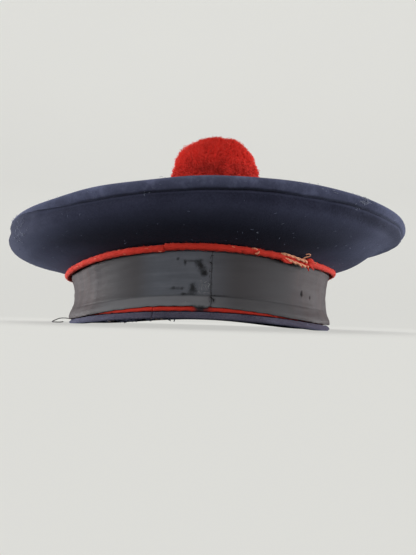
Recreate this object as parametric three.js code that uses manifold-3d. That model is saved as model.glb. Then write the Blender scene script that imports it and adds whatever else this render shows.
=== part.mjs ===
// Sailor cap of navy wool: a round crown with a rolled edge, an oval head band with a faded ribbon
// between two red cords, a bound rim and a red wool pompom.
// Millimetres, +Z up. The cap rests on its rim at z = 0, the front faces -Y, the origin lies under
// the middle of the crown. Bearings are in degrees from the front, positive towards +X.

import * as THREE from 'three';
import { mergeVertices } from 'three/addons/utils/BufferGeometryUtils.js';
import Module from 'manifold-3d';

const { clamp, lerp, degToRad } = THREE.MathUtils;

// Driving dimensions. Each piece is first turned or wrapped about the Z axis as on a plain round cap,
// and the round cap is then drawn into the form that the worn one has.
const CROWN_RADIUS = 132.8;
const CROWN_OFFSET_X = 0.3;
const CROWN_CENTRE_HEIGHT = 72;
const EDGE_HEIGHT = 60;
const EDGE_ROLL_RADIUS = 3.2;
const CLOTH = 2;
const WALL_RADIUS = 91.6;
const WALL_THICKNESS = 2.2;
const WALL_TOP = 38;
const WALL_FOOT = 1.9;
const HEAD_STRETCH = 6.3;
const BAND_OFFSET_X = -4.2;
const GAP = 0.35;
const RIBBON_THICKNESS = 1;
const UPPER_CORD_RADIUS = 1.8;
const UPPER_CORD_HEIGHT = 34.5;
const UPPER_CORD_STAND = 6.1;
const UPPER_CORD_STEP = 0.9;
const UPPER_CORD_STEP_SHARE = 0.07;
const LOWER_CORD_RADIUS = 1.2;
const LOWER_CORD_HEIGHT = 5;
const BINDING_CLOTH = 1.3;
const BINDING_INNER_HEIGHT = 7;
const BINDING_OUTER_HEIGHT = 3.4;
const BINDING_FLOOR = 1.5;
const JOIN_GAP = 0.4;
const POMPOM_HALF_WIDTH = 33.6;
const POMPOM_CENTRE_HEIGHT = 105;
const POMPOM_RISE = 34.6;
const POMPOM_FALL = 38;
const POMPOM_OFFSET_X = 3.7;
const POMPOM_SEAT_GAP = 0.5;
const LOCK_COUNT = 52;
const LOCK_DEPTH = 2.4;
const LOCK_RADIUS = 14;
const LOCK_LENGTH = 8;
const LOWEST_LOCK = -0.62;

// Facets of the round forms.
const SEGMENTS = 56;
const UPPER_CORD_SIDES = 8;
const LOWER_CORD_SIDES = 6;
const BALL_SIDES = 14;
const BALL_RINGS = 10;
const LOCK_SIDES = 5;

const NAVY_WOOL = { color: 0x23263a, roughness: 0.95, metalness: 0 };
const RED_CORD = { color: 0xa82c24, roughness: 0.85, metalness: 0 };
const RED_WOOL = { color: 0xc0221d, roughness: 1, metalness: 0 };
const GREY_RIBBON = { color: 0x47494e, roughness: 0.55, metalness: 0 };

// Where the ends of each wrapped strip meet.
const JOIN_BEARING = { ribbon: 4.5, upperCord: -11, lowerCord: -15, rimBinding: -15 };

// How far each level of the worn cap stands from its height on the round cap: evenly all round, as a
// lean up towards +X, and as arches at the front and the back that end at the half width. The front
// arch is highest at the bearing of its middle.
const LEVELS = {
  rim: { even: 0, lean: 0, front: 5, middle: 0, back: 5, halfWidth: 70 },
  cord: { even: -0.5, lean: 3.6, front: 7.5, middle: -8, back: 4.5, halfWidth: 70 },
  edge: { even: 0.4, lean: 2.6, front: 6.5, middle: 6, back: 3.5, halfWidth: 70 },
  ribbonFoot: { even: 0.4, lean: 0.5, front: 3.1, middle: -7, back: 0, halfWidth: 58 },
};

// Heights on the round cap between which one level passes over into the next.
const RIM_ZONE_TOP = 8;
const CORD_ZONE_FOOT = 30;
const CORD_ZONE_TOP = 39;
const EDGE_ZONE_FOOT = 56;
const RIBBON_FOOT_ZONE = { foot: 2.9, top: 14 };

// The lean of the edge dies out towards the middle of the crown by this power of the radius.
const EDGE_FADE = 1.5;

// The side of the crown sags and swells towards -X and is drawn in towards +X.
const SIDE_SAG = { reach: 3.3, at: 0.5, spread: 0.5 };
const SIDE_SWELL = { reach: 3, at: 0.7, spread: 0.3 };

// Soft dents in the side of the crown: middle bearing, half width, lift of the cloth, and the share of
// the way up the side at which each is deepest.
const DENTS = [
  { bearing: 84, spread: 50, lift: 3.8, at: 0.36 },
  { bearing: -66, spread: 12, lift: 1.2, at: 0.62 },
  { bearing: 168, spread: 26, lift: 1.4, at: 0.45 },
];
const DENT_REACH = 0.34;

// The top of the crown, outside, from the middle to the rolled edge.
const TOP_ROWS = [
  { radius: 0, fall: 0 },
  { radius: 46, fall: 0.9 },
  { radius: 86, fall: 3.6 },
  { radius: 112, fall: 7.2 },
  { radius: 124, fall: 8.9 },
];
const ROLL_ANGLES = [90, 62, 34, 4, -28, -56];

// The band wall flares out from the wall radius towards its top.
const FLARE_START = { height: 22, flare: 0 };
const FLARE_MIDDLE = { height: 28, flare: 0.85 };
const FLARE_SHOULDER = { height: 33.7, flare: 2.45 };
const FLARE_TOP = { height: WALL_TOP, flare: 2.5 };

// The side of the crown, outside, from the band up to the seam: shares of the way out and up.
const SIDE_FOOT = { radius: WALL_RADIUS + FLARE_TOP.flare + GAP, height: 36.65 };
const SIDE_SEAM = { radius: CROWN_RADIUS - 1.7, height: 56.6 };
const SIDE_ROWS = [
  { out: 0, up: 0 },
  { out: 0.13, up: 0.025 },
  { out: 0.36, up: 0.14 },
  { out: 0.6, up: 0.28 },
  { out: 0.8, up: 0.44 },
  { out: 0.94, up: 0.6 },
  { out: 1.005, up: 0.78 },
  { out: 1, up: 0.97 },
  { out: 0.972, up: 1.07 },
];

// The outside of the band wall, from its foot up.
const WALL_ROWS = [
  { height: WALL_FOOT, flare: 0 },
  FLARE_START,
  FLARE_MIDDLE,
  FLARE_SHOULDER,
  FLARE_TOP,
];

// The back of the ribbon: how far it stands from the wall radius. It is tight at the waist, passes
// over the lower cord at its foot and ends behind the upper cord.
const RIBBON_ROWS = [
  { height: RIBBON_FOOT_ZONE.foot, stand: 3 },
  { height: 5.4, stand: 3 },
  { height: 10.5, stand: 1.2 },
  { height: 15, stand: GAP },
  { height: FLARE_START.height, stand: FLARE_START.flare + GAP },
  { height: FLARE_MIDDLE.height, stand: FLARE_MIDDLE.flare + GAP },
  { height: FLARE_SHOULDER.height, stand: FLARE_SHOULDER.flare + GAP },
];

// The rounded outside of the rim binding, from the floor up.
const BINDING_ROWS = [
  { height: 0, stand: 3.2 },
  { height: 0.8, stand: 3.9 },
  { height: 2.1, stand: 2.6 },
  { height: BINDING_OUTER_HEIGHT, stand: 2.2 },
];

// The turn from one bearing to another, the short way round.
function turnBetween(bearing, other) {
  return Math.atan2(Math.sin(bearing - other), Math.cos(bearing - other));
}

// A smooth hump that is 1 in the middle and 0 from one spread away.
function hump(distance, spread) {
  const reach = Math.min(Math.abs(distance) / spread, 1);
  return (1 + Math.cos(Math.PI * reach)) / 2;
}

// How far a level stands from its plain height at a bearing in radians.
function levelShift(level, bearing) {
  const halfWidth = degToRad(level.halfWidth);
  const front = level.front * hump(turnBetween(bearing, degToRad(level.middle)), halfWidth);
  const back = level.back * hump(turnBetween(bearing, Math.PI), halfWidth);
  return level.even + level.lean * Math.sin(bearing) + front + back;
}

// The lift that the dents give to the side of the crown.
function dentLift(bearing, upShare) {
  let lift = 0;
  for (const dent of DENTS) {
    const away = turnBetween(bearing, degToRad(dent.bearing));
    lift += dent.lift * hump(away, degToRad(dent.spread)) * hump(upShare - dent.at, DENT_REACH);
  }
  return lift;
}

// A point of the round cap, given by radius, bearing in radians and height, moved to where the worn
// cap has it: the plan turns from the head's oval at the band to the round of the crown.
function worn(radius, bearing, height) {
  const upShare = clamp((height - CORD_ZONE_TOP) / (EDGE_ZONE_FOOT - CORD_ZONE_TOP), 0, 1);
  const ovalShare = 1 - upShare;
  const swell = SIDE_SWELL.reach * hump(upShare - SIDE_SWELL.at, SIDE_SWELL.spread);
  const reach = radius - swell * Math.sin(bearing);
  const centreX = lerp(CROWN_OFFSET_X, BAND_OFFSET_X, ovalShare);
  const x = (reach - HEAD_STRETCH * ovalShare) * Math.sin(bearing) + centreX;
  const y = -(reach + HEAD_STRETCH * ovalShare) * Math.cos(bearing);

  const rimShift = levelShift(LEVELS.rim, bearing);
  const cordShift = levelShift(LEVELS.cord, bearing);
  const edgeShift = levelShift(LEVELS.edge, bearing) * (radius / CROWN_RADIUS) ** EDGE_FADE;
  const bandShare = clamp((height - RIM_ZONE_TOP) / (CORD_ZONE_FOOT - RIM_ZONE_TOP), 0, 1);
  const shift = height < CORD_ZONE_TOP
    ? lerp(rimShift, cordShift, bandShare)
    : lerp(cordShift, edgeShift, upShare);
  const sag = SIDE_SAG.reach * Math.sin(bearing) * hump(upShare - SIDE_SAG.at, SIDE_SAG.spread);
  return [x, y, height + shift + sag + dentLift(bearing, upShare)];
}

// Moves every vertex of a geometry by a function of its coordinates.
function reshape(geometry, place) {
  const position = geometry.attributes.position;
  for (let i = 0; i < position.count; i += 1) {
    position.setXYZ(i, ...place(position.getX(i), position.getY(i), position.getZ(i)));
  }
  geometry.computeVertexNormals();
  return geometry;
}

// A closed ring or disc: the profile runs round the section, and is turned and drawn into form.
function turned(profile) {
  const geometry = new THREE.LatheGeometry(profile, SEGMENTS);
  geometry.rotateX(Math.PI / 2);
  return reshape(geometry, (x, y, z) => worn(Math.hypot(x, y), Math.atan2(x, -y), z));
}

// A strip that runs once round the cap, with its two ends meeting at a join. The extra shift moves a
// point of the strip up by its bearing, its height and its share of the way along.
function wrapped(section, joinBearing, extraShift = () => 0) {
  const shape = new THREE.Shape(section);
  const strip = new THREE.ExtrudeGeometry(shape, { depth: 1, steps: SEGMENTS, bevelEnabled: false });
  const joinAngle = JOIN_GAP / WALL_RADIUS;
  return reshape(strip, (radius, height, along) => {
    const bearing = degToRad(joinBearing) - joinAngle / 2 - along * (2 * Math.PI - joinAngle);
    return worn(radius, bearing, height + extraShift(bearing, height, along));
  });
}

// The inner face of a cloth wall: the rows of its outer face set back by the cloth, square to the
// wall's own run, in the opposite order.
function backOf(outer, thickness) {
  const back = outer.map((point, i) => {
    const before = outer[Math.max(i - 1, 0)];
    const after = outer[Math.min(i + 1, outer.length - 1)];
    const run = after.clone().sub(before).normalize();
    return new THREE.Vector2(point.x - run.y * thickness, point.y + run.x * thickness);
  });
  return back.reverse();
}

function circleSection(radius, height, roundness, sides) {
  const ring = new THREE.Path().absarc(radius, height, roundness, 0, 2 * Math.PI).getPoints(sides);
  return ring.slice(0, sides);
}

function crownTop() {
  const rollCentre = new THREE.Vector2(CROWN_RADIUS - EDGE_ROLL_RADIUS, EDGE_HEIGHT);
  const onRoll = (roundness) => ROLL_ANGLES.map((angle) => {
    const spoke = new THREE.Vector2(roundness, 0).rotateAround(new THREE.Vector2(), degToRad(angle));
    return spoke.add(rollCentre);
  });
  const onTop = (depth) => TOP_ROWS.map(
    ({ radius, fall }) => new THREE.Vector2(radius, CROWN_CENTRE_HEIGHT - fall - depth),
  );
  const outside = [...onTop(0), ...onRoll(EDGE_ROLL_RADIUS)];
  const inside = [...onTop(CLOTH), ...onRoll(EDGE_ROLL_RADIUS - CLOTH)];
  return turned([...inside, ...outside.reverse()]);
}

function crownSide() {
  const outside = SIDE_ROWS.map(({ out, up }) => new THREE.Vector2(
    lerp(SIDE_FOOT.radius, SIDE_SEAM.radius, out),
    lerp(SIDE_FOOT.height, SIDE_SEAM.height, up),
  ));
  const inside = backOf(outside, CLOTH);
  inside[inside.length - 1].set(SIDE_FOOT.radius, SIDE_FOOT.height + CLOTH);
  return turned([...outside, ...inside, outside[0]]);
}

function band() {
  const outside = WALL_ROWS.map(({ height, flare }) => new THREE.Vector2(WALL_RADIUS + flare, height));
  const inside = outside.map((point) => new THREE.Vector2(point.x - WALL_THICKNESS, point.y));
  return turned([...outside, ...inside.reverse(), outside[0]]);
}

function ribbon() {
  const back = RIBBON_ROWS.map(({ height, stand }) => new THREE.Vector2(WALL_RADIUS + stand, height));
  const front = back.map((point) => new THREE.Vector2(point.x + RIBBON_THICKNESS, point.y));
  const { foot, top } = RIBBON_FOOT_ZONE;
  return wrapped([...front, ...back.reverse()], JOIN_BEARING.ribbon, (bearing, height) => {
    const footShare = clamp((top - height) / (top - foot), 0, 1);
    return levelShift(LEVELS.ribbonFoot, bearing) * footShare;
  });
}

function upperCord() {
  const path = WALL_RADIUS + UPPER_CORD_STAND;
  const section = circleSection(path, UPPER_CORD_HEIGHT, UPPER_CORD_RADIUS, UPPER_CORD_SIDES);
  return wrapped(section, JOIN_BEARING.upperCord, (bearing, height, along) => {
    const startShare = hump(along, UPPER_CORD_STEP_SHARE);
    return -UPPER_CORD_STEP * startShare;
  });
}

function lowerCord() {
  const path = WALL_RADIUS + GAP + LOWER_CORD_RADIUS;
  const section = circleSection(path, LOWER_CORD_HEIGHT, LOWER_CORD_RADIUS, LOWER_CORD_SIDES);
  return wrapped(section, JOIN_BEARING.lowerCord);
}

// The binding is a U in section, standing round the foot of the band wall.
function rimBinding() {
  const outerBack = WALL_RADIUS + GAP;
  const innerBack = WALL_RADIUS - WALL_THICKNESS - GAP;
  const innerFace = innerBack - BINDING_CLOTH;
  const outside = BINDING_ROWS.map(({ height, stand }) => new THREE.Vector2(WALL_RADIUS + stand, height));
  return wrapped([
    ...outside,
    new THREE.Vector2(outerBack, BINDING_OUTER_HEIGHT),
    new THREE.Vector2(outerBack, BINDING_FLOOR),
    new THREE.Vector2(innerBack, BINDING_FLOOR),
    new THREE.Vector2(innerBack, BINDING_INNER_HEIGHT),
    new THREE.Vector2(innerFace, BINDING_INNER_HEIGHT),
    new THREE.Vector2(innerFace, 0),
  ], JOIN_BEARING.rimBinding);
}

// The pompom: a ball with pointed wool locks all over, flat where it is sewn to the crown.
async function pompom() {
  const wasm = await Module();
  wasm.setup();
  const toSolid = (geometry) => {
    const bare = geometry.clone();
    bare.deleteAttribute('normal');
    bare.deleteAttribute('uv');
    const merged = mergeVertices(bare);
    return new wasm.Manifold(new wasm.Mesh({
      numProp: 3,
      vertProperties: new Float32Array(merged.attributes.position.array),
      triVerts: new Uint32Array(merged.index.array),
    }));
  };

  const centre = new THREE.Vector3(POMPOM_OFFSET_X, 0, POMPOM_CENTRE_HEIGHT);
  const seat = CROWN_CENTRE_HEIGHT + POMPOM_SEAT_GAP;
  const onBall = (way, depth) => new THREE.Vector3(
    centre.x + way.x * (POMPOM_HALF_WIDTH - depth),
    centre.y + way.y * (POMPOM_HALF_WIDTH - depth),
    Math.max(centre.z + way.z * ((way.z > 0 ? POMPOM_RISE : POMPOM_FALL) - depth), seat),
  );
  const core = new THREE.SphereGeometry(1, BALL_SIDES, BALL_RINGS);
  core.rotateX(Math.PI / 2);
  reshape(core, (x, y, z) => onBall(new THREE.Vector3(x, y, z), LOCK_DEPTH).toArray());
  let solid = toSolid(core);

  const goldenTurn = Math.PI * (3 - Math.sqrt(5));
  const up = new THREE.Vector3(0, 1, 0);
  for (let i = 0; i < LOCK_COUNT; i += 1) {
    const rise = lerp(1, LOWEST_LOCK, (i + 0.5) / LOCK_COUNT);
    const spread = Math.sqrt(1 - rise * rise);
    const turn = i * goldenTurn;
    const way = new THREE.Vector3(spread * Math.sin(turn), -spread * Math.cos(turn), rise);
    const lock = new THREE.ConeGeometry(LOCK_RADIUS, LOCK_LENGTH, LOCK_SIDES);
    lock.applyQuaternion(new THREE.Quaternion().setFromUnitVectors(up, way));
    const middle = onBall(way, LOCK_LENGTH / 2);
    solid = solid.add(toSolid(lock.translate(middle.x, middle.y, middle.z)));
  }

  const mesh = solid.getMesh();
  const geometry = new THREE.BufferGeometry();
  geometry.setAttribute('position', new THREE.BufferAttribute(mesh.vertProperties, 3));
  geometry.setIndex(new THREE.BufferAttribute(mesh.triVerts, 1));
  geometry.computeVertexNormals();
  return geometry;
}

function piece(name, geometry, finish) {
  const mesh = new THREE.Mesh(geometry, new THREE.MeshStandardMaterial(finish));
  mesh.name = name;
  return mesh;
}

const cap = new THREE.Group();
cap.name = 'sailor_cap';
cap.add(
  piece('crown_top', crownTop(), NAVY_WOOL),
  piece('crown_side', crownSide(), NAVY_WOOL),
  piece('band', band(), NAVY_WOOL),
  piece('rim_binding', rimBinding(), NAVY_WOOL),
  piece('ribbon', ribbon(), GREY_RIBBON),
  piece('upper_cord', upperCord(), RED_CORD),
  piece('lower_cord', lowerCord(), RED_CORD),
  piece('pompom', await pompom(), RED_WOOL),
);

export default cap;
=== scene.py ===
"""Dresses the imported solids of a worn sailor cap: felted wool, ribbon, cords, pompom and stage.

Each piece is made again as a fine mesh in the solids' own frame, in metres, +Z up, with the front towards
-Y. It is laid out on a plain round cap, by radius, bearing and height, and then drawn into the worn form.
Bearings are in degrees from the front, positive towards +X.
"""

import math
from collections import namedtuple

import bpy
import numpy as np
from mathutils import Matrix, Vector


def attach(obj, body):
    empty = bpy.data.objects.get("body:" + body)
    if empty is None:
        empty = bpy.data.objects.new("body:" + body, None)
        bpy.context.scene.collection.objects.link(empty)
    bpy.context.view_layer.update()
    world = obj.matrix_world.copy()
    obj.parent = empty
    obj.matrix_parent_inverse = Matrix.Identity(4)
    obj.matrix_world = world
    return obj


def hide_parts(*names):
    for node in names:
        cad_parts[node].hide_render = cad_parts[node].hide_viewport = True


bl_info = {
    "name": "Sailor Cap",
    "version": (1, 0, 0),
    "blender": (4, 5, 0),
    "location": "View3D > Sidebar > Sailor Cap",
    "description": "Builds a worn wool sailor cap with its ribbon, cords and pompom",
    "category": "Object",
}

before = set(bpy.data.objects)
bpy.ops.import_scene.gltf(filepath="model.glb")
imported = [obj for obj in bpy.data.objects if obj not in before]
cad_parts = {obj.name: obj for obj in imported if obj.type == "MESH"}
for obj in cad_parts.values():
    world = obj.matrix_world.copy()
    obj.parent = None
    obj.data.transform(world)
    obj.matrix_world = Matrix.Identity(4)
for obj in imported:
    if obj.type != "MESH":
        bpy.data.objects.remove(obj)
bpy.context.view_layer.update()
BODY = "root"
TINY = 1e-12

# The round cap, as the solids have it.
CROWN_RADIUS = 0.1328
CROWN_OFFSET_X = 0.0003
CROWN_CENTRE_HEIGHT = 0.072
EDGE_HEIGHT = 0.060
EDGE_ROLL_RADIUS = 0.0032
CLOTH = 0.002
WALL_RADIUS = 0.0916
WALL_THICKNESS = 0.0022
WALL_FOOT = 0.0019
HEAD_STRETCH = 0.0063
BAND_OFFSET_X = -0.0042
GAP = 0.00035
RIBBON_THICKNESS = 0.001
UPPER_CORD_RADIUS = 0.0018
UPPER_CORD_HEIGHT = 0.0345
UPPER_CORD_STAND = 0.0061
UPPER_CORD_STEP = 0.0006
UPPER_CORD_STEP_SHARE = 0.07
LOWER_CORD_RADIUS = 0.0012
LOWER_CORD_HEIGHT = 0.005
BINDING_CLOTH = 0.0013
BINDING_INNER_HEIGHT = 0.007
BINDING_OUTER_HEIGHT = 0.0034
BINDING_FLOOR = 0.0015
JOIN_GAP = 0.0004
POMPOM_HALF_WIDTH = 0.0336
POMPOM_CENTRE = np.array([0.0037, 0.0, 0.105])
POMPOM_RISE = 0.0346
POMPOM_FALL = 0.038
POMPOM_SEAT = 0.0725
POMPOM_HOLLOW_DEPTH = 0.06

# Where the ends of each wrapped strip meet.
RIBBON_JOIN = 4.5
UPPER_CORD_JOIN = -11.0
LOWER_CORD_JOIN = -15.0
RIM_BINDING_JOIN = -15.0

# How far each level of the worn cap stands from its height on the round cap: evenly all round, as a lean
# up towards +X, and as arches at the front and the back that end at the half width.
Level = namedtuple("Level", "even lean front middle back half_width")
RIM_LEVEL = Level(even=0.0, lean=0.0, front=0.005, middle=0, back=0.005, half_width=70)
CORD_LEVEL = Level(even=-0.0005, lean=0.0036, front=0.0075, middle=-8, back=0.0045, half_width=70)
EDGE_LEVEL = Level(even=0.0004, lean=0.0026, front=0.0065, middle=6, back=0.0035, half_width=70)
RIBBON_FOOT_LEVEL = Level(even=0.0004, lean=0.0005, front=0.0031, middle=-7, back=0.0, half_width=58)

# Heights on the round cap between which one level passes over into the next.
RIM_ZONE_TOP = 0.008
CORD_ZONE_FOOT = 0.030
CORD_ZONE_TOP = 0.039
EDGE_ZONE_FOOT = 0.056
RIBBON_FOOT = 0.0029
RIBBON_FOOT_TOP = 0.014
EDGE_FADE = 1.5

# The sag and swell of the crown's side, and its soft dents.
Pull = namedtuple("Pull", "reach at spread")
SIDE_SAG = Pull(reach=0.0033, at=0.5, spread=0.5)
SIDE_SWELL = Pull(reach=0.003, at=0.7, spread=0.3)
Dent = namedtuple("Dent", "bearing spread lift at")
DENTS = [
    Dent(bearing=84, spread=50, lift=0.0029, at=0.36),
    Dent(bearing=-66, spread=14, lift=0.0008, at=0.62),
    Dent(bearing=168, spread=26, lift=0.0014, at=0.45),
]
DENT_REACH = 0.34
EdgeLift = namedtuple("EdgeLift", "bearing spread lift")
EDGE_LIFTS = [EdgeLift(bearing=-70, spread=26, lift=0.0019), EdgeLift(bearing=58, spread=40, lift=0.0008)]

# Profiles of the round cap: rows of radius and height, or of shares and stands as their names say.
TOP_FALLS = [(0.0, 0.0), (0.046, 0.0009), (0.086, 0.0036), (0.112, 0.0072), (0.124, 0.0089)]
ROLL_START = 90
ROLL_END = -80
SIDE_FOOT = (WALL_RADIUS + 0.0025 + GAP, 0.03665)
SIDE_SEAM = (CROWN_RADIUS - 0.0017, 0.0566)
SIDE_SHARES = [
    (0.0, 0.0), (0.13, 0.025), (0.36, 0.14), (0.6, 0.28), (0.8, 0.44),
    (0.94, 0.6), (1.005, 0.78), (1.0, 0.97), (0.972, 1.07),
]
WALL_FLARES = [(0.0, WALL_FOOT), (0.0, 0.022), (0.00085, 0.028), (0.00245, 0.0337), (0.0025, 0.038)]
RIBBON_STANDS = [
    (0.003, RIBBON_FOOT), (0.003, 0.0054), (0.0012, 0.0105), (GAP, 0.015),
    (GAP, 0.022), (0.00085 + GAP, 0.028), (0.00245 + GAP, 0.0337),
]
BINDING_STANDS = [(0.0032, 0.0), (0.0039, 0.0008), (0.0026, 0.0021), (0.0022, BINDING_OUTER_HEIGHT)]

# The binding is rolled rounder at the right: middle and spread in degrees, reach, height and rise.
RIM_BULGE_BEARING = 95
RIM_BULGE_SPREAD = 55
RIM_BULGE = 0.0012
RIM_BULGE_HEIGHT = 0.0021
RIM_BULGE_RISE = 0.0017

# How fine the meshes are.
ROUND_COLUMNS = 560
CORD_COLUMNS = 900
TOP_ROWS = 44
ROLL_ROWS = 22
SIDE_ROWS = 52
WALL_ROWS = 24
BACK_ROWS = 14
RIBBON_ROWS = 60
BINDING_ROWS = 18
UPPER_CORD_SIDES = 20
LOWER_CORD_SIDES = 12

# Lines along the crown's side: its belly, its seam, and the ridge that the seam's turnings press into it just
# under the rolled edge. In the felt's colour, the belly's pale band and the ridge's pale line are painted
# light, and the seam's dark line is painted shade.
LIT_BELLY_AT = 0.0455
LIT_BELLY_SPREAD = 0.008
SHADED_SEAM_AT = 0.0569
SHADED_SEAM_SPREAD = 0.0009
SEAM_RIDGE_AT = 0.0556
SEAM_RIDGE_SPREAD = 0.0010
SEAM_RIDGE_HEIGHT = 0.00035
SEAM_PUCKER = 0.00018
SEAM_GROOVE_FOOT = 0.0545
SEAM_GROOVE_DEPTH = 0.00035
FELT_UNEVENNESS = 0.00022

# The stretch at the left where the edge is twisted up: its lip is short and the side climbs to meet it.
TWIST_START = -24
TWIST_FULL = -54
TWIST_FADE = -84
TWIST_END = -112
TWIST_ROLL_END = 8
TWIST_FOOT = 0.0505
TWIST_TOP = 0.058
TWIST_OUT = 0.0024
TWIST_UP = 0.0027

# Marks on the ribbon: where each lies, by bearing and height, and half its size.
Mark = namedtuple("Mark", "bearing height half_width half_height strength")
RIBBON_STAINS = [
    Mark(bearing=0.2, height=0.0268, half_width=0.0024, half_height=0.0024, strength=0.75),
    Mark(bearing=0.8, height=0.0258, half_width=0.0015, half_height=0.0014, strength=0.9),
    Mark(bearing=1.3, height=0.0242, half_width=0.0025, half_height=0.0028, strength=0.7),
    Mark(bearing=2.0, height=0.0222, half_width=0.0020, half_height=0.0018, strength=1.0),
    Mark(bearing=-1.8, height=0.0279, half_width=0.0046, half_height=0.0007, strength=0.55),
    Mark(bearing=-4.5, height=0.0271, half_width=0.0009, half_height=0.0014, strength=0.9),
    Mark(bearing=-7.0, height=0.0289, half_width=0.0010, half_height=0.0008, strength=0.7),
    Mark(bearing=-1.7, height=0.0144, half_width=0.0026, half_height=0.0034, strength=0.8),
    Mark(bearing=-1.8, height=0.0152, half_width=0.0012, half_height=0.0014, strength=0.7),
    Mark(bearing=-7.2, height=0.0149, half_width=0.0050, half_height=0.0008, strength=0.5),
    Mark(bearing=-8.3, height=0.0150, half_width=0.0012, half_height=0.0009, strength=0.6),
    Mark(bearing=-5.4, height=0.0148, half_width=0.0010, half_height=0.0009, strength=0.6),
    Mark(bearing=-3.2, height=0.0113, half_width=0.0060, half_height=0.0009, strength=0.6),
    Mark(bearing=-4.8, height=0.0115, half_width=0.0014, half_height=0.0010, strength=0.8),
    Mark(bearing=4.9, height=0.0080, half_width=0.0018, half_height=0.0028, strength=0.5),
    Mark(bearing=7.4, height=0.0109, half_width=0.0056, half_height=0.0008, strength=0.5),
    Mark(bearing=1.2, height=0.0026, half_width=0.0054, half_height=0.0020, strength=0.9),
]
RIBBON_RUBS = [
    Mark(bearing=-3.6, height=0.0078, half_width=0.0050, half_height=0.0020, strength=0.22),
    Mark(bearing=-4.0, height=0.0048, half_width=0.0024, half_height=0.0010, strength=0.35),
    Mark(bearing=0.6, height=0.0084, half_width=0.0040, half_height=0.0014, strength=0.2),
]
RIBBON_HOLES = [
    Mark(bearing=42.3, height=0.0185, half_width=0.0009, half_height=0.0015, strength=1.0),
    Mark(bearing=48.0, height=0.0174, half_width=0.0006, half_height=0.0007, strength=0.8),
]
RIBBON_PATCH = Mark(bearing=2.0, height=0.0150, half_width=0.0046, half_height=0.0052, strength=0.25)
HOLE_DEPTH = 0.0007
RIBBON_UV_RADIUS = 0.0935
JOIN_PLACE = math.radians(RIBBON_JOIN) * RIBBON_UV_RADIUS

# The ribbon's crease, folds, lap and the tab of its join that hangs over the lower cord.
CREASE_HEIGHT = 0.0106
CREASE_TILT = 0.012
CREASE_SPREAD = 0.0009
CREASE_DEPTH = 0.0003
CREASE_FADE = (70, 30)
LAP_HEIGHT = 0.00014
LAP_WIDTH = 7.0
LAP_PINCH = 0.00008
TUCK_LENGTH = 2.0
TUCK_DEPTH = 0.00022
JOIN_TAB = Mark(bearing=1.2, height=RIBBON_FOOT, half_width=0.0042, half_height=0.0010, strength=1.0)
CoarseStitch = namedtuple("CoarseStitch", "bearing height turn rise radius")
COARSE_STITCHES = [
    CoarseStitch(bearing=4.2, height=0.0108, turn=2.2, rise=0.0001, radius=0.00030),
    CoarseStitch(bearing=4.2, height=0.0098, turn=1.5, rise=-0.0027, radius=0.00038),
    CoarseStitch(bearing=5.0, height=0.0082, turn=0.4, rise=-0.0020, radius=0.00034),
    CoarseStitch(bearing=4.0, height=0.0306, turn=1.2, rise=0.0002, radius=0.00022),
    CoarseStitch(bearing=3.7, height=0.0276, turn=0.8, rise=-0.0006, radius=0.00022),
    CoarseStitch(bearing=3.6, height=0.0232, turn=0.8, rise=0.0001, radius=0.00018),
]
CRACK_RADIUS = 0.00013
RIBBON_CRACKS = [
    [(0.6, 0.0184), (0.9, 0.0188), (1.3, 0.0190)],
    [(3.4, 0.0176), (3.9, 0.0172), (3.4, 0.0155), (3.9, 0.0149)],
    [(1.5, 0.0123), (2.8, 0.0126), (4.0, 0.0123)],
    [(1.2, 0.0156), (1.3, 0.0147), (1.5, 0.0138)],
    [(0.1, 0.0139), (0.3, 0.0131), (0.7, 0.0124)],
    [(2.3, 0.0168), (2.6, 0.0158), (2.8, 0.0149)],
    [(1.9, 0.0180), (2.2, 0.0178), (2.9, 0.0183)],
    [(-3.9, 0.0066), (-3.8, 0.0058), (-3.5, 0.0052)],
]
Fold = namedtuple("Fold", "bearing spread height")
RIBBON_FOLDS = [
    Fold(bearing=-42, spread=4, height=0.00035),
    Fold(bearing=-52, spread=5, height=-0.00035),
    Fold(bearing=-64, spread=6, height=0.00045),
    Fold(bearing=-78, spread=6, height=-0.0004),
    Fold(bearing=56, spread=5, height=0.0003),
    Fold(bearing=67, spread=5, height=-0.0003),
    Fold(bearing=76, spread=6, height=0.0003),
    Fold(bearing=150, spread=10, height=0.0004),
    Fold(bearing=-160, spread=9, height=-0.0004),
]

# The worn stretch of the upper cord, where its cover is torn and the pale core shows.
TORN_START = 27.5
TORN_END = 41.5
TORN_SHRINK = 0.06

# Fine unevenness of the pieces, in metres, or as shares of a cord's radius.
RIM_LUMPS = 0.00022
RIBBON_UNEVENNESS = 0.00012
RIBBON_FOOT_RAGGED = 0.00015
CORD_GRAIN = 0.00012
CORD_LUMPS = 0.05
LOWER_CORD_LUMPS = 0.08

# The fine stitches along the ribbon's join.
JOIN_STITCH_BEARING = 3.9
JOIN_STITCH_JITTER = 0.22
JOIN_STITCH_HEIGHTS = np.arange(0.0065, 0.0315, 0.0029)
JOIN_STITCH_RADIUS = 0.0001

# How far the pompom's strands and its heart lie inside its surface, as shares of its size.
POMPOM_STRAND_DEPTH = 0.11
POMPOM_HEART_DEPTH = 0.055


def hump(distance, spread):
    """A smooth hump that is 1 in the middle and 0 from one spread away."""
    reach = np.minimum(np.abs(distance) / spread, 1.0)
    return (1.0 + np.cos(np.pi * reach)) / 2.0


def turn_between(bearing, other):
    """The turn from one bearing to another in degrees, the short way round."""
    return (np.asarray(bearing) - other + 180.0) % 360.0 - 180.0


def smooth_step(value, low, high):
    """0 below low, 1 above high and a smooth rise between them."""
    share = np.clip((value - low) / (high - low), 0.0, 1.0)
    return share * share * (3.0 - 2.0 * share)


def uneven(*places, seed, waves=9, reach=3.0):
    """A smooth unevenness of about -1 to 1 over the coordinates given, the same for the same seed."""
    chance = np.random.default_rng(seed)
    total = 0.0
    for _ in range(waves):
        run = sum(chance.uniform(-reach, reach) * place for place in places)
        total = total + np.sin(run + chance.uniform(0.0, 2.0 * np.pi))
    return total / math.sqrt(waves)


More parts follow.
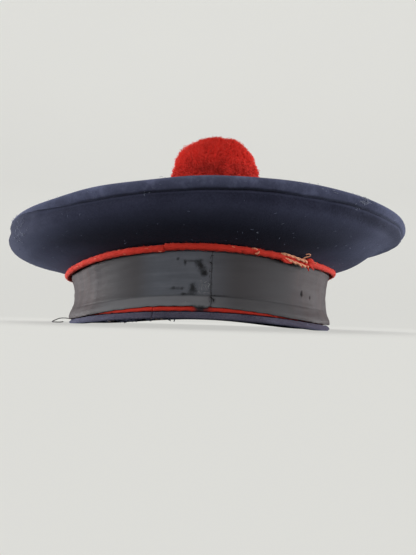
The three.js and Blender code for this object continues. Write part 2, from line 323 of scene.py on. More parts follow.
def level_shift(level, bearing):
    """How far a level stands from its plain height."""
    front = level.front * hump(turn_between(bearing, level.middle), level.half_width)
    back = level.back * hump(turn_between(bearing, 180.0), level.half_width)
    return level.even + level.lean * np.sin(np.radians(bearing)) + front + back


def worn(radius, bearing, height):
    """Points of the round cap, moved to where the worn cap has them."""
    radius, bearing, height = np.broadcast_arrays(radius, bearing, height)
    up = np.clip((height - CORD_ZONE_TOP) / (EDGE_ZONE_FOOT - CORD_ZONE_TOP), 0.0, 1.0)
    oval = 1.0 - up
    sine, cosine = np.sin(np.radians(bearing)), np.cos(np.radians(bearing))
    reach = radius - SIDE_SWELL.reach * hump(up - SIDE_SWELL.at, SIDE_SWELL.spread) * sine
    centre_x = CROWN_OFFSET_X + (BAND_OFFSET_X - CROWN_OFFSET_X) * oval
    x = (reach - HEAD_STRETCH * oval) * sine + centre_x
    y = -(reach + HEAD_STRETCH * oval) * cosine

    rim = level_shift(RIM_LEVEL, bearing)
    cord = level_shift(CORD_LEVEL, bearing)
    edge = level_shift(EDGE_LEVEL, bearing) * (np.abs(radius) / CROWN_RADIUS) ** EDGE_FADE
    band_share = np.clip((height - RIM_ZONE_TOP) / (CORD_ZONE_FOOT - RIM_ZONE_TOP), 0.0, 1.0)
    shift = np.where(height < CORD_ZONE_TOP, rim + (cord - rim) * band_share, cord + (edge - cord) * up)
    lift = SIDE_SAG.reach * sine * hump(up - SIDE_SAG.at, SIDE_SAG.spread)
    for dent in DENTS:
        across = hump(turn_between(bearing, dent.bearing), dent.spread)
        lift = lift + dent.lift * across * hump(up - dent.at, DENT_REACH)
    by_edge = up**2 * (np.abs(radius) / CROWN_RADIUS) ** 6
    for end in EDGE_LIFTS:
        lift = lift + end.lift * hump(turn_between(bearing, end.bearing), end.spread) * by_edge
    return np.stack([x, y, height + shift + lift], axis=-1)


def spline(before, start, end, after, share):
    """Points at a share of the way from one knot to the next, smooth with the knots on either side."""
    slope_in, slope_out = (end - before) / 2.0, (after - start) / 2.0
    bend_in = 3.0 * (end - start) - 2.0 * slope_in - slope_out
    bend_out = 2.0 * (start - end) + slope_in + slope_out
    return start + slope_in * share + bend_in * share**2 + bend_out * share**3


def with_ends(rows):
    """Rows with one more at each end, in line with the two next to it."""
    return np.vstack([2.0 * rows[0] - rows[1], rows, 2.0 * rows[-1] - rows[-2]])


def smooth_curve(rows, count):
    """A smooth curve through the rows of a profile, as evenly spaced points."""
    rows = np.asarray(rows, float)
    ends = with_ends(rows)
    share = np.linspace(0.0, 1.0, 24, endpoint=False)[:, None]
    stretches = []
    for before, start, end, after in zip(ends, ends[1:], ends[2:], ends[3:]):
        stretches.append(spline(before, start, end, after, share))
    fine = np.vstack([*stretches, rows[-1:]])
    run = np.concatenate([[0.0], np.cumsum(np.hypot(*np.diff(fine, axis=0).T))])
    places = np.linspace(0.0, run[-1], count)
    return np.stack([np.interp(places, run, fine[:, 0]), np.interp(places, run, fine[:, 1])], axis=-1)


def square_to(curve):
    """The way square to a profile, to its right, at each of its points."""
    run = np.gradient(curve, axis=0)
    run /= np.linalg.norm(run, axis=1, keepdims=True)
    return np.stack([run[:, 1], -run[:, 0]], axis=-1)


def set_back(curve, thickness):
    """A profile set back to its left by the cloth's thickness."""
    return curve - thickness * square_to(curve)


def around_bearings(count):
    """Bearings once round the cap, without the last."""
    return np.linspace(-180.0, 180.0, count, endpoint=False)


def strip_bearings(join, stretches, lap=0.0):
    """Bearings of a strip from its join round to the left, with so many columns in each stretch.

    With a lap, the strip's start runs on past the join by so many degrees, under its end.
    """
    slip = math.degrees(JOIN_GAP / WALL_RADIUS) / 2.0
    start = join + lap if lap else join - slip
    end = join + slip - 360.0
    parts, last = [], start
    for stop, columns in stretches:
        parts.append(np.linspace(last, stop, columns, endpoint=False))
        last = stop
    return np.concatenate([*parts, [last, end]])


def grid_faces(rows, columns, rows_closed, columns_closed):
    """Quads between the points of a grid, as rows of four indices."""
    row, column = np.meshgrid(
        np.arange(rows if rows_closed else rows - 1),
        np.arange(columns if columns_closed else columns - 1),
        indexing="ij",
    )
    next_row, next_column = (row + 1) % rows, (column + 1) % columns
    quads = [row * columns + column, row * columns + next_column,
             next_row * columns + next_column, next_row * columns + column]
    return np.stack(quads, axis=-1).reshape(-1, 4)


def enclosed_volume(points, faces):
    """The signed volume inside faces of three or more corners each."""
    volume = 0.0
    for group in faces:
        for corner in range(1, group.shape[1] - 1):
            first, second, third = (points[group[:, i]] for i in (0, corner, corner + 1))
            volume += np.einsum("ij,ij->", first, np.cross(second, third)) / 6.0
    return volume


def outward(points, faces):
    """The faces of a closed form, turned where they face inward."""
    if enclosed_volume(points, faces) < 0.0:
        return [group[:, ::-1] for group in faces]
    return faces


def mesh_piece(name, points, faces, material, places=None):
    """A smooth closed object from points and faces, with its faces outward and its places as a UV map."""
    points = np.asarray(points, float).reshape(-1, 3)
    if not np.isfinite(points).all():
        raise RuntimeError(f"{name} has a point that is not finite")
    faces = outward(points, faces)
    corners = np.concatenate([group.ravel() for group in faces]).astype(np.int32)
    sizes = np.concatenate([np.full(len(group), group.shape[1]) for group in faces])
    mesh = bpy.data.meshes.new(name)
    mesh.vertices.add(len(points))
    mesh.vertices.foreach_set("co", points.astype(np.float32).ravel())
    mesh.loops.add(len(corners))
    mesh.loops.foreach_set("vertex_index", corners)
    mesh.polygons.add(len(sizes))
    starts = np.concatenate([[0], np.cumsum(sizes)[:-1]]).astype(np.int32)
    mesh.polygons.foreach_set("loop_start", starts)
    if places is not None:
        layer = mesh.uv_layers.new(name="cloth")
        layer.data.foreach_set("uv", places.reshape(-1, 2)[corners].astype(np.float32).ravel())
    mesh.update(calc_edges=True)
    mesh.polygons.foreach_set("use_smooth", np.ones(len(sizes), bool))
    mesh.materials.append(material)
    piece = bpy.data.objects.new(name, mesh)
    bpy.context.scene.collection.objects.link(piece)
    return piece


def strip_faces(rows, columns):
    """The faces of a strip with a closed section, its two ends included."""
    last = columns - 1
    ends = np.stack([np.arange(rows) * columns, np.arange(rows)[::-1] * columns + last])
    return [grid_faces(rows, columns, True, False), ends]


def strand_points(paths, radii, sides):
    """Rings of points round many paths of like length, each with its own radius along it."""
    run = np.gradient(paths, axis=1)
    run /= np.linalg.norm(run, axis=2, keepdims=True) + TINY
    upright = np.where(np.abs(run[:, :1, 2:]) < 0.9, [[[0.0, 0.0, 1.0]]], [[[1.0, 0.0, 0.0]]])
    side = np.cross(run, np.broadcast_to(upright, run.shape))
    side /= np.linalg.norm(side, axis=2, keepdims=True) + TINY
    other = np.cross(run, side)
    turn = 2.0 * np.pi * np.arange(sides) / sides
    spokes = side[:, :, None] * np.cos(turn)[:, None] + other[:, :, None] * np.sin(turn)[:, None]
    return paths[:, :, None] + spokes * radii[:, :, None, None]


def strand_faces(count, steps, sides):
    """The faces of so many strands, closed at both ends."""
    one = grid_faces(steps, sides, False, True)
    root = np.arange(sides)[::-1]
    tip = (steps - 1) * sides + np.arange(sides)
    first = np.arange(count)[:, None, None] * steps * sides
    return [(one + first).reshape(-1, 4), (np.stack([root, tip]) + first).reshape(-1, sides)]


def strands_piece(name, paths, radii, material, sides=3):
    """Many thin strands in one object: their paths are of like length, each with its own radii."""
    paths = np.asarray(paths, float)
    radii = np.broadcast_to(np.asarray(radii, float), paths.shape[:2])
    points = strand_points(paths, radii, sides)
    return mesh_piece(name, points, strand_faces(*paths.shape[:2], sides), material)


def curve_path(knots, count):
    """A smooth path of so many points through given knots."""
    knots = np.asarray(knots, float)
    flat = smooth_curve(np.stack([np.arange(len(knots)), np.zeros(len(knots))], axis=-1), count)[:, 0]
    ends = with_ends(knots)
    index = np.minimum(flat.astype(int), len(knots) - 2)
    share = (flat - index)[:, None]
    return spline(*(ends[index + shift] for shift in range(4)), share)


def settle(piece, node=None):
    """Fixes a piece to the cap's body, and hides the solid that it stands for where one is named."""
    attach(piece, BODY)
    if node:
        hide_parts(node)
    return piece


def add_node(tree, kind, inputs=None, **settings):
    """A new node with its settings, and its inputs set to values or linked to sockets.

    A colour is given an opaque alpha.
    """
    made = tree.nodes.new(kind)
    for name, value in settings.items():
        setattr(made, name, value)
    for key, value in (inputs or {}).items():
        socket = made.inputs[key]
        if isinstance(value, bpy.types.NodeSocket):
            tree.links.new(value, socket)
        elif socket.type == "RGBA":
            socket.default_value = (*value, 1.0)
        else:
            socket.default_value = value
    return made


def add_math(tree, operation, first, second=0.0):
    """The output of a Math node on two values or sockets."""
    return add_node(tree, "ShaderNodeMath", {0: first, 1: second}, operation=operation).outputs[0]


def add_product(tree, first, *others):
    """The product of values or sockets."""
    for other in others:
        first = add_math(tree, "MULTIPLY", first, other)
    return first


def add_blend(tree, share, first, second):
    """A share of one value with the rest of another."""
    rest = add_product(tree, second, 1.0 - share)
    return add_math(tree, "ADD", add_product(tree, first, share), rest)


def add_apart(tree, first, second=0.0):
    """How far two values are apart."""
    return add_math(tree, "ABSOLUTE", add_math(tree, "SUBTRACT", first, second))


def add_vector(tree, operation, first, second=(0.0, 0.0, 0.0)):
    """The outputs of a Vector Math node on two vectors."""
    return add_node(tree, "ShaderNodeVectorMath", {0: first, 1: second}, operation=operation).outputs


def stretched(tree, vector, shares):
    """A vector scaled by a share along each axis."""
    return add_vector(tree, "MULTIPLY", vector, shares)[0]


def axes_of(tree, vector):
    """The coordinates of a vector, by their names."""
    return add_node(tree, "ShaderNodeSeparateXYZ", {0: vector}).outputs


def add_noise(tree, vector, scale, detail=3.0, roughness=0.55, distortion=0.0):
    """The value of a noise texture."""
    inputs = {"Vector": vector, "Scale": scale, "Detail": detail, "Roughness": roughness,
              "Distortion": distortion}
    return add_node(tree, "ShaderNodeTexNoise", inputs).outputs[0]


def add_range(tree, value, low, high, to_low=0.0, to_high=1.0):
    """A value passed smoothly from one range into another."""
    inputs = {"Value": value, "From Min": low, "From Max": high, "To Min": to_low, "To Max": to_high}
    return add_node(tree, "ShaderNodeMapRange", inputs, interpolation_type="SMOOTHSTEP").outputs[0]


def add_mix(tree, share, first, second):
    """A colour mixed from two by a share."""
    made = add_node(tree, "ShaderNodeMix", {0: share, 6: first, 7: second}, data_type="RGBA")
    return made.outputs[2]


def new_group(name, inputs, outputs):
    """A new shader node group, with the sockets that it is given and those that it puts out."""
    tree = bpy.data.node_groups.new(name, "ShaderNodeTree")
    for socket, default in inputs.items():
        kind = "NodeSocketFloat" if isinstance(default, float) else "NodeSocketVector"
        tree.interface.new_socket(socket, in_out="INPUT", socket_type=kind).default_value = default
    for socket in outputs:
        tree.interface.new_socket(socket, in_out="OUTPUT", socket_type="NodeSocketFloat")
    return tree, tree.nodes.new("NodeGroupInput").outputs, tree.nodes.new("NodeGroupOutput").inputs


def add_group(tree, group, inputs):
    """The outputs of a node group placed in a tree with its own values."""
    return add_node(tree, "ShaderNodeGroup", inputs, node_tree=bpy.data.node_groups[group]).outputs


def make_wool_nap():
    """Felted wool: short crossing fibres over a slow mottle."""
    inputs = {"Vector": (0.0, 0.0, 0.0), "Fibre Scale": 1400.0, "Mottle Scale": 30.0}
    tree, given, wanted = new_group("Wool Nap", inputs, ["Tone", "Height"])
    fine = add_noise(tree, given["Vector"], given["Fibre Scale"], 4.0, 0.65)
    wide_scale = add_product(tree, given["Fibre Scale"], 0.33)
    fibres = add_noise(tree, given["Vector"], wide_scale, 3.0, 0.6, 2.2)
    mottle = add_noise(tree, given["Vector"], given["Mottle Scale"], 3.0, 0.6)
    near = add_blend(tree, 0.55, fine, fibres)
    tone = add_blend(tree, 0.6, near, mottle)
    tree.links.new(add_range(tree, tone, 0.34, 0.66), wanted["Tone"])
    tree.links.new(near, wanted["Height"])


def make_lint_specks():
    """Small pale specks of lint, few and far between."""
    inputs = {"Vector": (0.0, 0.0, 0.0), "Scale": 260.0, "Share": 0.03, "Size": 0.1}
    tree, given, wanted = new_group("Lint Specks", inputs, ["Mask"])
    cells = add_node(tree, "ShaderNodeTexVoronoi", {"Vector": given["Vector"], "Scale": given["Scale"]})
    chance = add_node(tree, "ShaderNodeSeparateColor", {"Color": cells.outputs["Color"]}).outputs[0]
    picked = add_math(tree, "LESS_THAN", chance, given["Share"])
    near = add_math(tree, "LESS_THAN", cells.outputs["Distance"], given["Size"])
    tree.links.new(add_product(tree, picked, near), wanted["Mask"])


def make_cloth_spot():
    """A soft-edged spot with a ragged outline, placed on a cloth's own plan."""
    inputs = {"Vector": (0.0, 0.0, 0.0), "Centre": (0.0, 0.0, 0.0), "Half Size": (0.01, 0.01, 1.0),
              "Ragged": 0.6, "Strength": 1.0}
    tree, given, wanted = new_group("Cloth Spot", inputs, ["Mask"])
    away = add_vector(tree, "SUBTRACT", given["Vector"], given["Centre"])[0]
    scaled = add_vector(tree, "DIVIDE", away, given["Half Size"])[0]
    reach = add_vector(tree, "LENGTH", scaled)["Value"]
    grain = add_math(tree, "SUBTRACT", add_noise(tree, given["Vector"], 430.0, 5.0, 0.72), 0.5)
    rough = add_math(tree, "ADD", reach, add_product(tree, grain, given["Ragged"]))
    mask = add_range(tree, rough, 1.4, 0.2)
    tree.links.new(add_product(tree, mask, given["Strength"]), wanted["Mask"])


def make_fine_weave():
    """A fine plain weave: two sets of threads that cross."""
    inputs = {"Vector": (0.0, 0.0, 0.0), "Thread Scale": 900.0}
    tree, given, wanted = new_group("Fine Weave", inputs, ["Height"])
    threads = {"Vector": given["Vector"], "Scale": given["Thread Scale"], "Distortion": 0.6}
    warp = add_node(tree, "ShaderNodeTexWave", threads, bands_direction="X").outputs["Fac"]
    weft = add_node(tree, "ShaderNodeTexWave", threads, bands_direction="Y").outputs["Fac"]
    tree.links.new(add_math(tree, "MAXIMUM", warp, weft), wanted["Height"])


def new_material(name):
    """A new material with its node tree and its Principled shader."""
    material = bpy.data.materials.new(name)
    material.use_nodes = True
    tree = material.node_tree
    return material, tree, next(n for n in tree.nodes if n.type == "BSDF_PRINCIPLED")


def object_place(tree):
    """Places in the cap's own frame."""
    return add_node(tree, "ShaderNodeTexCoord").outputs["Object"]


def cloth_plan(tree):
    """Places on a piece's own flat plan."""
    return add_node(tree, "ShaderNodeUVMap", uv_map="cloth").outputs[0]


def set_bump(tree, shader, height, strength, distance):
    """Links a height to the shader's normal through a Bump node."""
    inputs = {"Height": height, "Strength": strength, "Distance": distance}
    tree.links.new(add_node(tree, "ShaderNodeBump", inputs).outputs[0], shader.inputs["Normal"])


def set_sheen(shader, weight, roughness, tint):
    """The soft glow of standing fibres at glancing angles."""
    shader.inputs["Sheen Weight"].default_value = weight
    shader.inputs["Sheen Roughness"].default_value = roughness
    shader.inputs["Sheen Tint"].default_value = (*tint, 1.0)


# Ramps of the felt's worn places and of the light and shade painted on it: from low to high, and the shares
# that they pass into where they aren't 0 to 1.
LIP_WORN_AND_LIT = (CROWN_RADIUS - 0.012, CROWN_RADIUS - 0.001)
LIP_PATCHES = (0.42, 0.72, 0.45, 1.0)
LIP_FADE = (0.045, 0.085, 1.0, 0.36)
SIDE_LINE_CORE = 0.1
SHADE_AT_FRONT = (-0.078, -0.100)
SHADE_ABOVE_CORD = (0.050, 0.038, 0.0, 0.85)
SHADED_RIGHT_END = (0.034, 0.056, 0.0, 0.8)
NAP_DEPTH = 0.0005


def worn_and_lit_lip(tree, place, colours, colour):
    """Pale patches along the crown's rolled edge, mostly at the front and the back: worn felt, and painted
    light on the edge.
    """
    flat = stretched(tree, place, (1.0, 1.0, 0.0))
    rubbed = add_range(tree, add_vector(tree, "LENGTH", flat)["Value"], *LIP_WORN_AND_LIT)
    patches = add_range(tree, add_noise(tree, place, 120.0, 5.0, 0.7), *LIP_PATCHES)
    # Strongest at the front and the back, where painted light brightens the edge.
    fade = add_range(tree, add_apart(tree, axes_of(tree, place)["X"]), *LIP_FADE)
    return add_mix(tree, add_product(tree, rubbed, patches, fade), colour, colours.navy_worn_and_lit)


def side_light_and_shade(tree, place, colours, colour):
    """Painted light and shade on the crown: a pale band on the side's belly, a highlight along the seam's
    ridge, shade along the seam, and shade above the cord at the front.

    Each line has a height, a spread, a strength, a tone and how plainly it shows.
    """
    along = axes_of(tree, cloth_plan(tree))
    # Painted light as a pale band on the belly, a painted highlight along the seam's ridge, and painted shade
    # along the seam.
    for height, spread, strength, tone, plain in (
        (LIT_BELLY_AT, LIT_BELLY_SPREAD, 0.2, colours.navy_worn_and_lit, 1.0),
        (SEAM_RIDGE_AT, SEAM_RIDGE_SPREAD, 0.16, colours.navy_worn_and_lit, along["X"]),
        (SHADED_SEAM_AT, SHADED_SEAM_SPREAD, 0.75, colours.navy_shade, along["X"]),
    ):
        away = add_apart(tree, along["Y"], height)
        line = add_range(tree, away, spread, SIDE_LINE_CORE * spread, 0.0, strength)
        colour = add_mix(tree, add_product(tree, line, plain), colour, tone)
    # Painted shade over the side just above the cord, at the front.
    front = add_range(tree, axes_of(tree, place)["Y"], *SHADE_AT_FRONT)
    darkened = add_product(tree, front, add_range(tree, along["Y"], *SHADE_ABOVE_CORD))
    return add_mix(tree, darkened, colour, colours.navy_shade)


def shaded_right_end(tree, place, colours, colour):
    """The rim binding's right end, darkened as painted shade."""
    share = add_range(tree, axes_of(tree, place)["X"], *SHADED_RIGHT_END)
    return add_mix(tree, share, colour, colours.binding_shade)


def navy_felt(name, colours, deep, light, wear_and_painted_light=(), speck_share=0.03, sheen=0.2):
    """Felted wool of two tones with lint, and with its worn places and painted light and shade in its colour.
    """
    material, tree, shader = new_material(name)
    place = object_place(tree)
    nap = add_group(tree, "Wool Nap", {"Vector": place, "Fibre Scale": 1300.0, "Mottle Scale": 34.0})
    colour = add_mix(tree, nap["Tone"], deep, light)
    for recolour in wear_and_painted_light:
        colour = recolour(tree, place, colours, colour)
    specks = add_group(tree, "Lint Specks", {"Vector": place, "Scale": 240.0, "Share": speck_share})
    colour = add_mix(tree, specks["Mask"], colour, colours.lint)
    tree.links.new(colour, shader.inputs["Base Color"])
    tree.links.new(add_range(tree, nap["Tone"], 0.0, 1.0, 1.0, 0.86), shader.inputs["Roughness"])
    shader.inputs["Specular IOR Level"].default_value = 0.12
    set_sheen(shader, sheen, 0.45, colours.navy_sheen)
    set_bump(tree, shader, nap["Height"], 0.45, NAP_DEPTH)
    return material


# Ramps along and across the ribbon, in the same way, with the shares and the ragged edges of its marks.
RIBBON_TONES = (0.38, 0.64)
RIBBON_ROUGHNESS = (0.3, 0.7, 0.72, 0.58)
RIBBON_MIDDLE = -0.002
DULL_RIGHT = (-0.004, 0.024)
DULL_BESIDE = (0.020, 0.036)
DULL_END = (0.080, 0.056)
BROWNED_AND_SHEEN = (0.062, 0.092)
BROWN_SHEEN_CLOUDS = 0.03
BROWN_SHEEN_SHARE = 0.85
FOLD_HIGHLIGHTS = (0.48, 0.72, 0.0, 0.4)
LIT_FOOT = (0.0010, -0.0012)
LIT_FOOT_ENDS = (0.075, 0.03, 0.06, 0.5)
LIT_FOOT_RIGHT = (0.0, 0.02, 1.0, 0.25)
CREASE_LINE = (0.0011, 0.0)
CREASE_ENDS = (0.045, 0.008, 0.14, 0.42)
JOIN_RAGGED = 0.0022
JOIN_LINE = (0.00045, 0.0, 0.0, 0.6)
CRACKLE = (0.045, 0.0)
RUB_RAGGED = 1.6
PATCH_RAGGED = 1.2
STAIN_RAGGED = 1.8
HOLE_RAGGED = 0.4


def ribbon_fade(tree, plan, cloudy, colours, colour):
    """The ribbon's colour along its length: dull beside its front, browned with a painted sheen towards its
    ends, and with painted highlights on its drawn folds there.
    """
    along = axes_of(tree, plan)["X"]
    away = add_apart(tree, along, RIBBON_MIDDLE)
    right = add_range(tree, along, *DULL_RIGHT)
    beside = add_math(tree, "MAXIMUM", right, add_range(tree, away, *DULL_BESIDE))
    dulled = add_product(tree, beside, add_range(tree, away, *DULL_END))
    colour = add_mix(tree, dulled, colour, colours.ribbon_dull)
    # Towards the ends: browned, with a painted sheen on top.
    clouds = add_math(tree, "ADD", away, add_product(tree, cloudy, BROWN_SHEEN_CLOUDS))
    browned = add_range(tree, clouds, *BROWNED_AND_SHEEN)
    colour = add_mix(tree, add_product(tree, browned, BROWN_SHEEN_SHARE), colour, colours.ribbon_browned_and_sheen)
    # Painted highlights on the drawn folds towards the ends.
    draws = add_noise(tree, stretched(tree, plan, (1.0, 0.1, 1.0)), 190.0, 3.0, 0.5)
    drawn = add_product(tree, browned, add_range(tree, draws, *FOLD_HIGHLIGHTS))
    return add_mix(tree, drawn, colour, colours.ribbon_fold_highlight)


def ribbon_crease(tree, plan, colours, colour):
    """The ribbon's foot, lightened as painted light, the painted shade along its crease and the ragged dark
    line of its join.
    """
    along = axes_of(tree, plan)
    away = add_apart(tree, along["X"], RIBBON_MIDDLE)
    tilt = add_product(tree, along["X"], CREASE_TILT)
    above = add_math(tree, "SUBTRACT", add_math(tree, "SUBTRACT", along["Y"], tilt), CREASE_HEIGHT)
    # Painted light: the foot below the crease is paler.
    foot = add_range(tree, above, *LIT_FOOT)
    ends = add_range(tree, away, *LIT_FOOT_ENDS)
    foot = add_product(tree, foot, ends, add_range(tree, along["X"], *LIT_FOOT_RIGHT))
    colour = add_mix(tree, foot, colour, colours.ribbon_pale_and_lit)
    # Painted shade: a dark line along the crease.
    line = add_range(tree, add_apart(tree, above), *CREASE_LINE)
    line = add_product(tree, line, add_range(tree, away, *CREASE_ENDS))
    colour = add_mix(tree, line, colour, colours.stain_and_shade)
    ragged = add_math(tree, "SUBTRACT", add_noise(tree, plan, 330.0, 3.0, 0.6), 0.5)
    torn = add_math(tree, "ADD", along["X"], add_product(tree, ragged, JOIN_RAGGED))
    join = add_range(tree, add_apart(tree, torn, JOIN_PLACE), *JOIN_LINE)
    return add_mix(tree, join, colour, colours.stain_and_shade)


def add_spot(tree, plan, mark, ragged):
    """The mask of one mark on the ribbon."""
    centre = (math.radians(mark.bearing) * RIBBON_UV_RADIUS, mark.height, 0.0)
    values = {"Vector": plan, "Centre": centre, "Half Size": (mark.half_width, mark.half_height, 1.0),
              "Ragged": ragged, "Strength": mark.strength}
    return add_group(tree, "Cloth Spot", values)["Mask"]


def ribbon_silk(colours):
    """Faded ribbon: grey at the front, browned towards its ends, stained, with a fine weave, and with painted
    sheen, highlights, light and shade.
    """
    material, tree, shader = new_material("ribbon_silk")
    plan = cloth_plan(tree)
    streaks = add_noise(tree, stretched(tree, plan, (0.06, 1.0, 1.0)), 420.0, 4.0, 0.6)
    cloudy = add_noise(tree, object_place(tree), 38.0, 5.0, 0.62)
    tone = add_blend(tree, 0.35, streaks, cloudy)
    colour = add_mix(tree, add_range(tree, tone, *RIBBON_TONES), colours.ribbon_deep, colours.ribbon)
    colour = ribbon_fade(tree, plan, cloudy, colours, colour)
    colour = ribbon_crease(tree, plan, colours, colour)
    for mark in RIBBON_RUBS:
        colour = add_mix(tree, add_spot(tree, plan, mark, RUB_RAGGED), colour, colours.ribbon_pale_and_lit)
    crackle = add_range(tree, add_apart(tree, add_noise(tree, plan, 270.0, 3.0, 0.6), 0.5), *CRACKLE)
    cracks = add_product(tree, add_spot(tree, plan, RIBBON_PATCH, PATCH_RAGGED), crackle)
    colour = add_mix(tree, cracks, colour, colours.ribbon_pale_and_lit)
    # Stains, and the holes darkened: the navy behind them and painted shade in them.
    for marks, ragged in ((RIBBON_STAINS, STAIN_RAGGED), (RIBBON_HOLES, HOLE_RAGGED)):
        for mark in marks:
            colour = add_mix(tree, add_spot(tree, plan, mark, ragged), colour, colours.stain_and_shade)
    tree.links.new(colour, shader.inputs["Base Color"])
    tree.links.new(add_range(tree, tone, *RIBBON_ROUGHNESS), shader.inputs["Roughness"])
    shader.inputs["Specular IOR Level"].default_value = 0.18
    set_sheen(shader, 0.08, 0.35, colours.ribbon_sheen)
    weave = add_group(tree, "Fine Weave", {"Vector": plan, "Thread Scale": 900.0})["Height"]
    set_bump(tree, shader, add_math(tree, "ADD", add_product(tree, weave, 0.4), streaks), 0.25, 0.0003)
    return material


def woolly(name, deep, light, fibre_scale, bump, sheen, tint, soil=None):
    """A woolly finish of two tones, with a dark soiled place where one is given."""
    material, tree, shader = new_material(name)
    place = object_place(tree)
    nap = add_group(tree, "Wool Nap", {"Vector": place, "Fibre Scale": fibre_scale, "Mottle Scale": 90.0})
    colour = add_mix(tree, nap["Tone"], deep, light)
    if soil:
        values = {"Vector": place, "Centre": soil.centre, "Half Size": soil.half_size, "Ragged": 1.6}
        spot = add_group(tree, "Cloth Spot", values)["Mask"]
        colour = add_mix(tree, spot, colour, soil.colour)
    tree.links.new(colour, shader.inputs["Base Color"])
    tree.links.new(add_range(tree, nap["Tone"], 0.0, 1.0, 0.95, 0.8), shader.inputs["Roughness"])
    shader.inputs["Specular IOR Level"].default_value = 0.25
    set_sheen(shader, sheen, 0.5, tint)
    set_bump(tree, shader, nap["Height"], bump, NAP_DEPTH)
    return material


# Ramps of the painted shade in the pompom's pile: out from its middle, and up from it.
SHADED_ROOTS = (0.80 * POMPOM_HALF_WIDTH, 0.99 * POMPOM_HALF_WIDTH)
SHADED_LOW = (POMPOM_CENTRE[2], POMPOM_CENTRE[2] + 0.011, 0.5, 1.0)


def pompom_wool(colours):
    """Cut red wool, darker towards the roots of the strands and low down as painted shade."""
    material, tree, shader = new_material("pompom_wool")
    place = object_place(tree)
    nap = add_group(tree, "Wool Nap", {"Vector": place, "Fibre Scale": 700.0, "Mottle Scale": 110.0})
    away = add_vector(tree, "DISTANCE", place, tuple(POMPOM_CENTRE))["Value"]
    outer = add_range(tree, away, *SHADED_ROOTS)
    high = add_range(tree, axes_of(tree, place)["Z"], *SHADED_LOW)
    tone = add_product(tree, outer, add_range(tree, nap["Tone"], 0.0, 1.0, 0.6, 1.0), high)
    colour = add_mix(tree, tone, colours.wool_red_deep_and_shaded, colours.wool_red)
    tree.links.new(colour, shader.inputs["Base Color"])
    tree.links.new(add_range(tree, nap["Tone"], 0.0, 1.0, 1.0, 0.85), shader.inputs["Roughness"])
    shader.inputs["Specular IOR Level"].default_value = 0.15
    set_sheen(shader, 0.26, 0.5, colours.wool_red_sheen)
    return material


def studio_paper(colours):
    """Pale seamless paper with a barely seen tooth, which throws little light back on the cap."""
    material, tree, shader = new_material("studio_paper")
    place = object_place(tree)
    cloudy = add_range(tree, add_noise(tree, place, 1.4, 3.0, 0.5), 0.35, 0.65)
    deep = tuple(0.97 * channel for channel in colours.paper)
    colour = add_mix(tree, cloudy, deep, colours.paper)
    level = axes_of(tree, place)["Z"]
    colour = add_mix(tree, add_range(tree, level, 0.0, COVE_RADIUS), colours.paper_floor, colour)
    seen = add_node(tree, "ShaderNodeLightPath").outputs["Is Camera Ray"]
    colour = add_mix(tree, seen, colours.paper_bounce, colour)
    tree.links.new(colour, shader.inputs["Base Color"])
    glow = add_mix(tree, seen, (0.0, 0.0, 0.0), colours.paper_glow)
    tree.links.new(glow, shader.inputs["Emission Color"])
    shader.inputs["Emission Strength"].default_value = 1.0
    shader.inputs["Roughness"].default_value = 0.95
    shader.inputs["Specular IOR Level"].default_value = 0.0
    return material


def colour_property(name, description, default):
    """A colour that a user may change."""
    return bpy.props.FloatVectorProperty(
        name=name, description=description, default=default, size=3, subtype="COLOR", min=0.0, max=1.0)


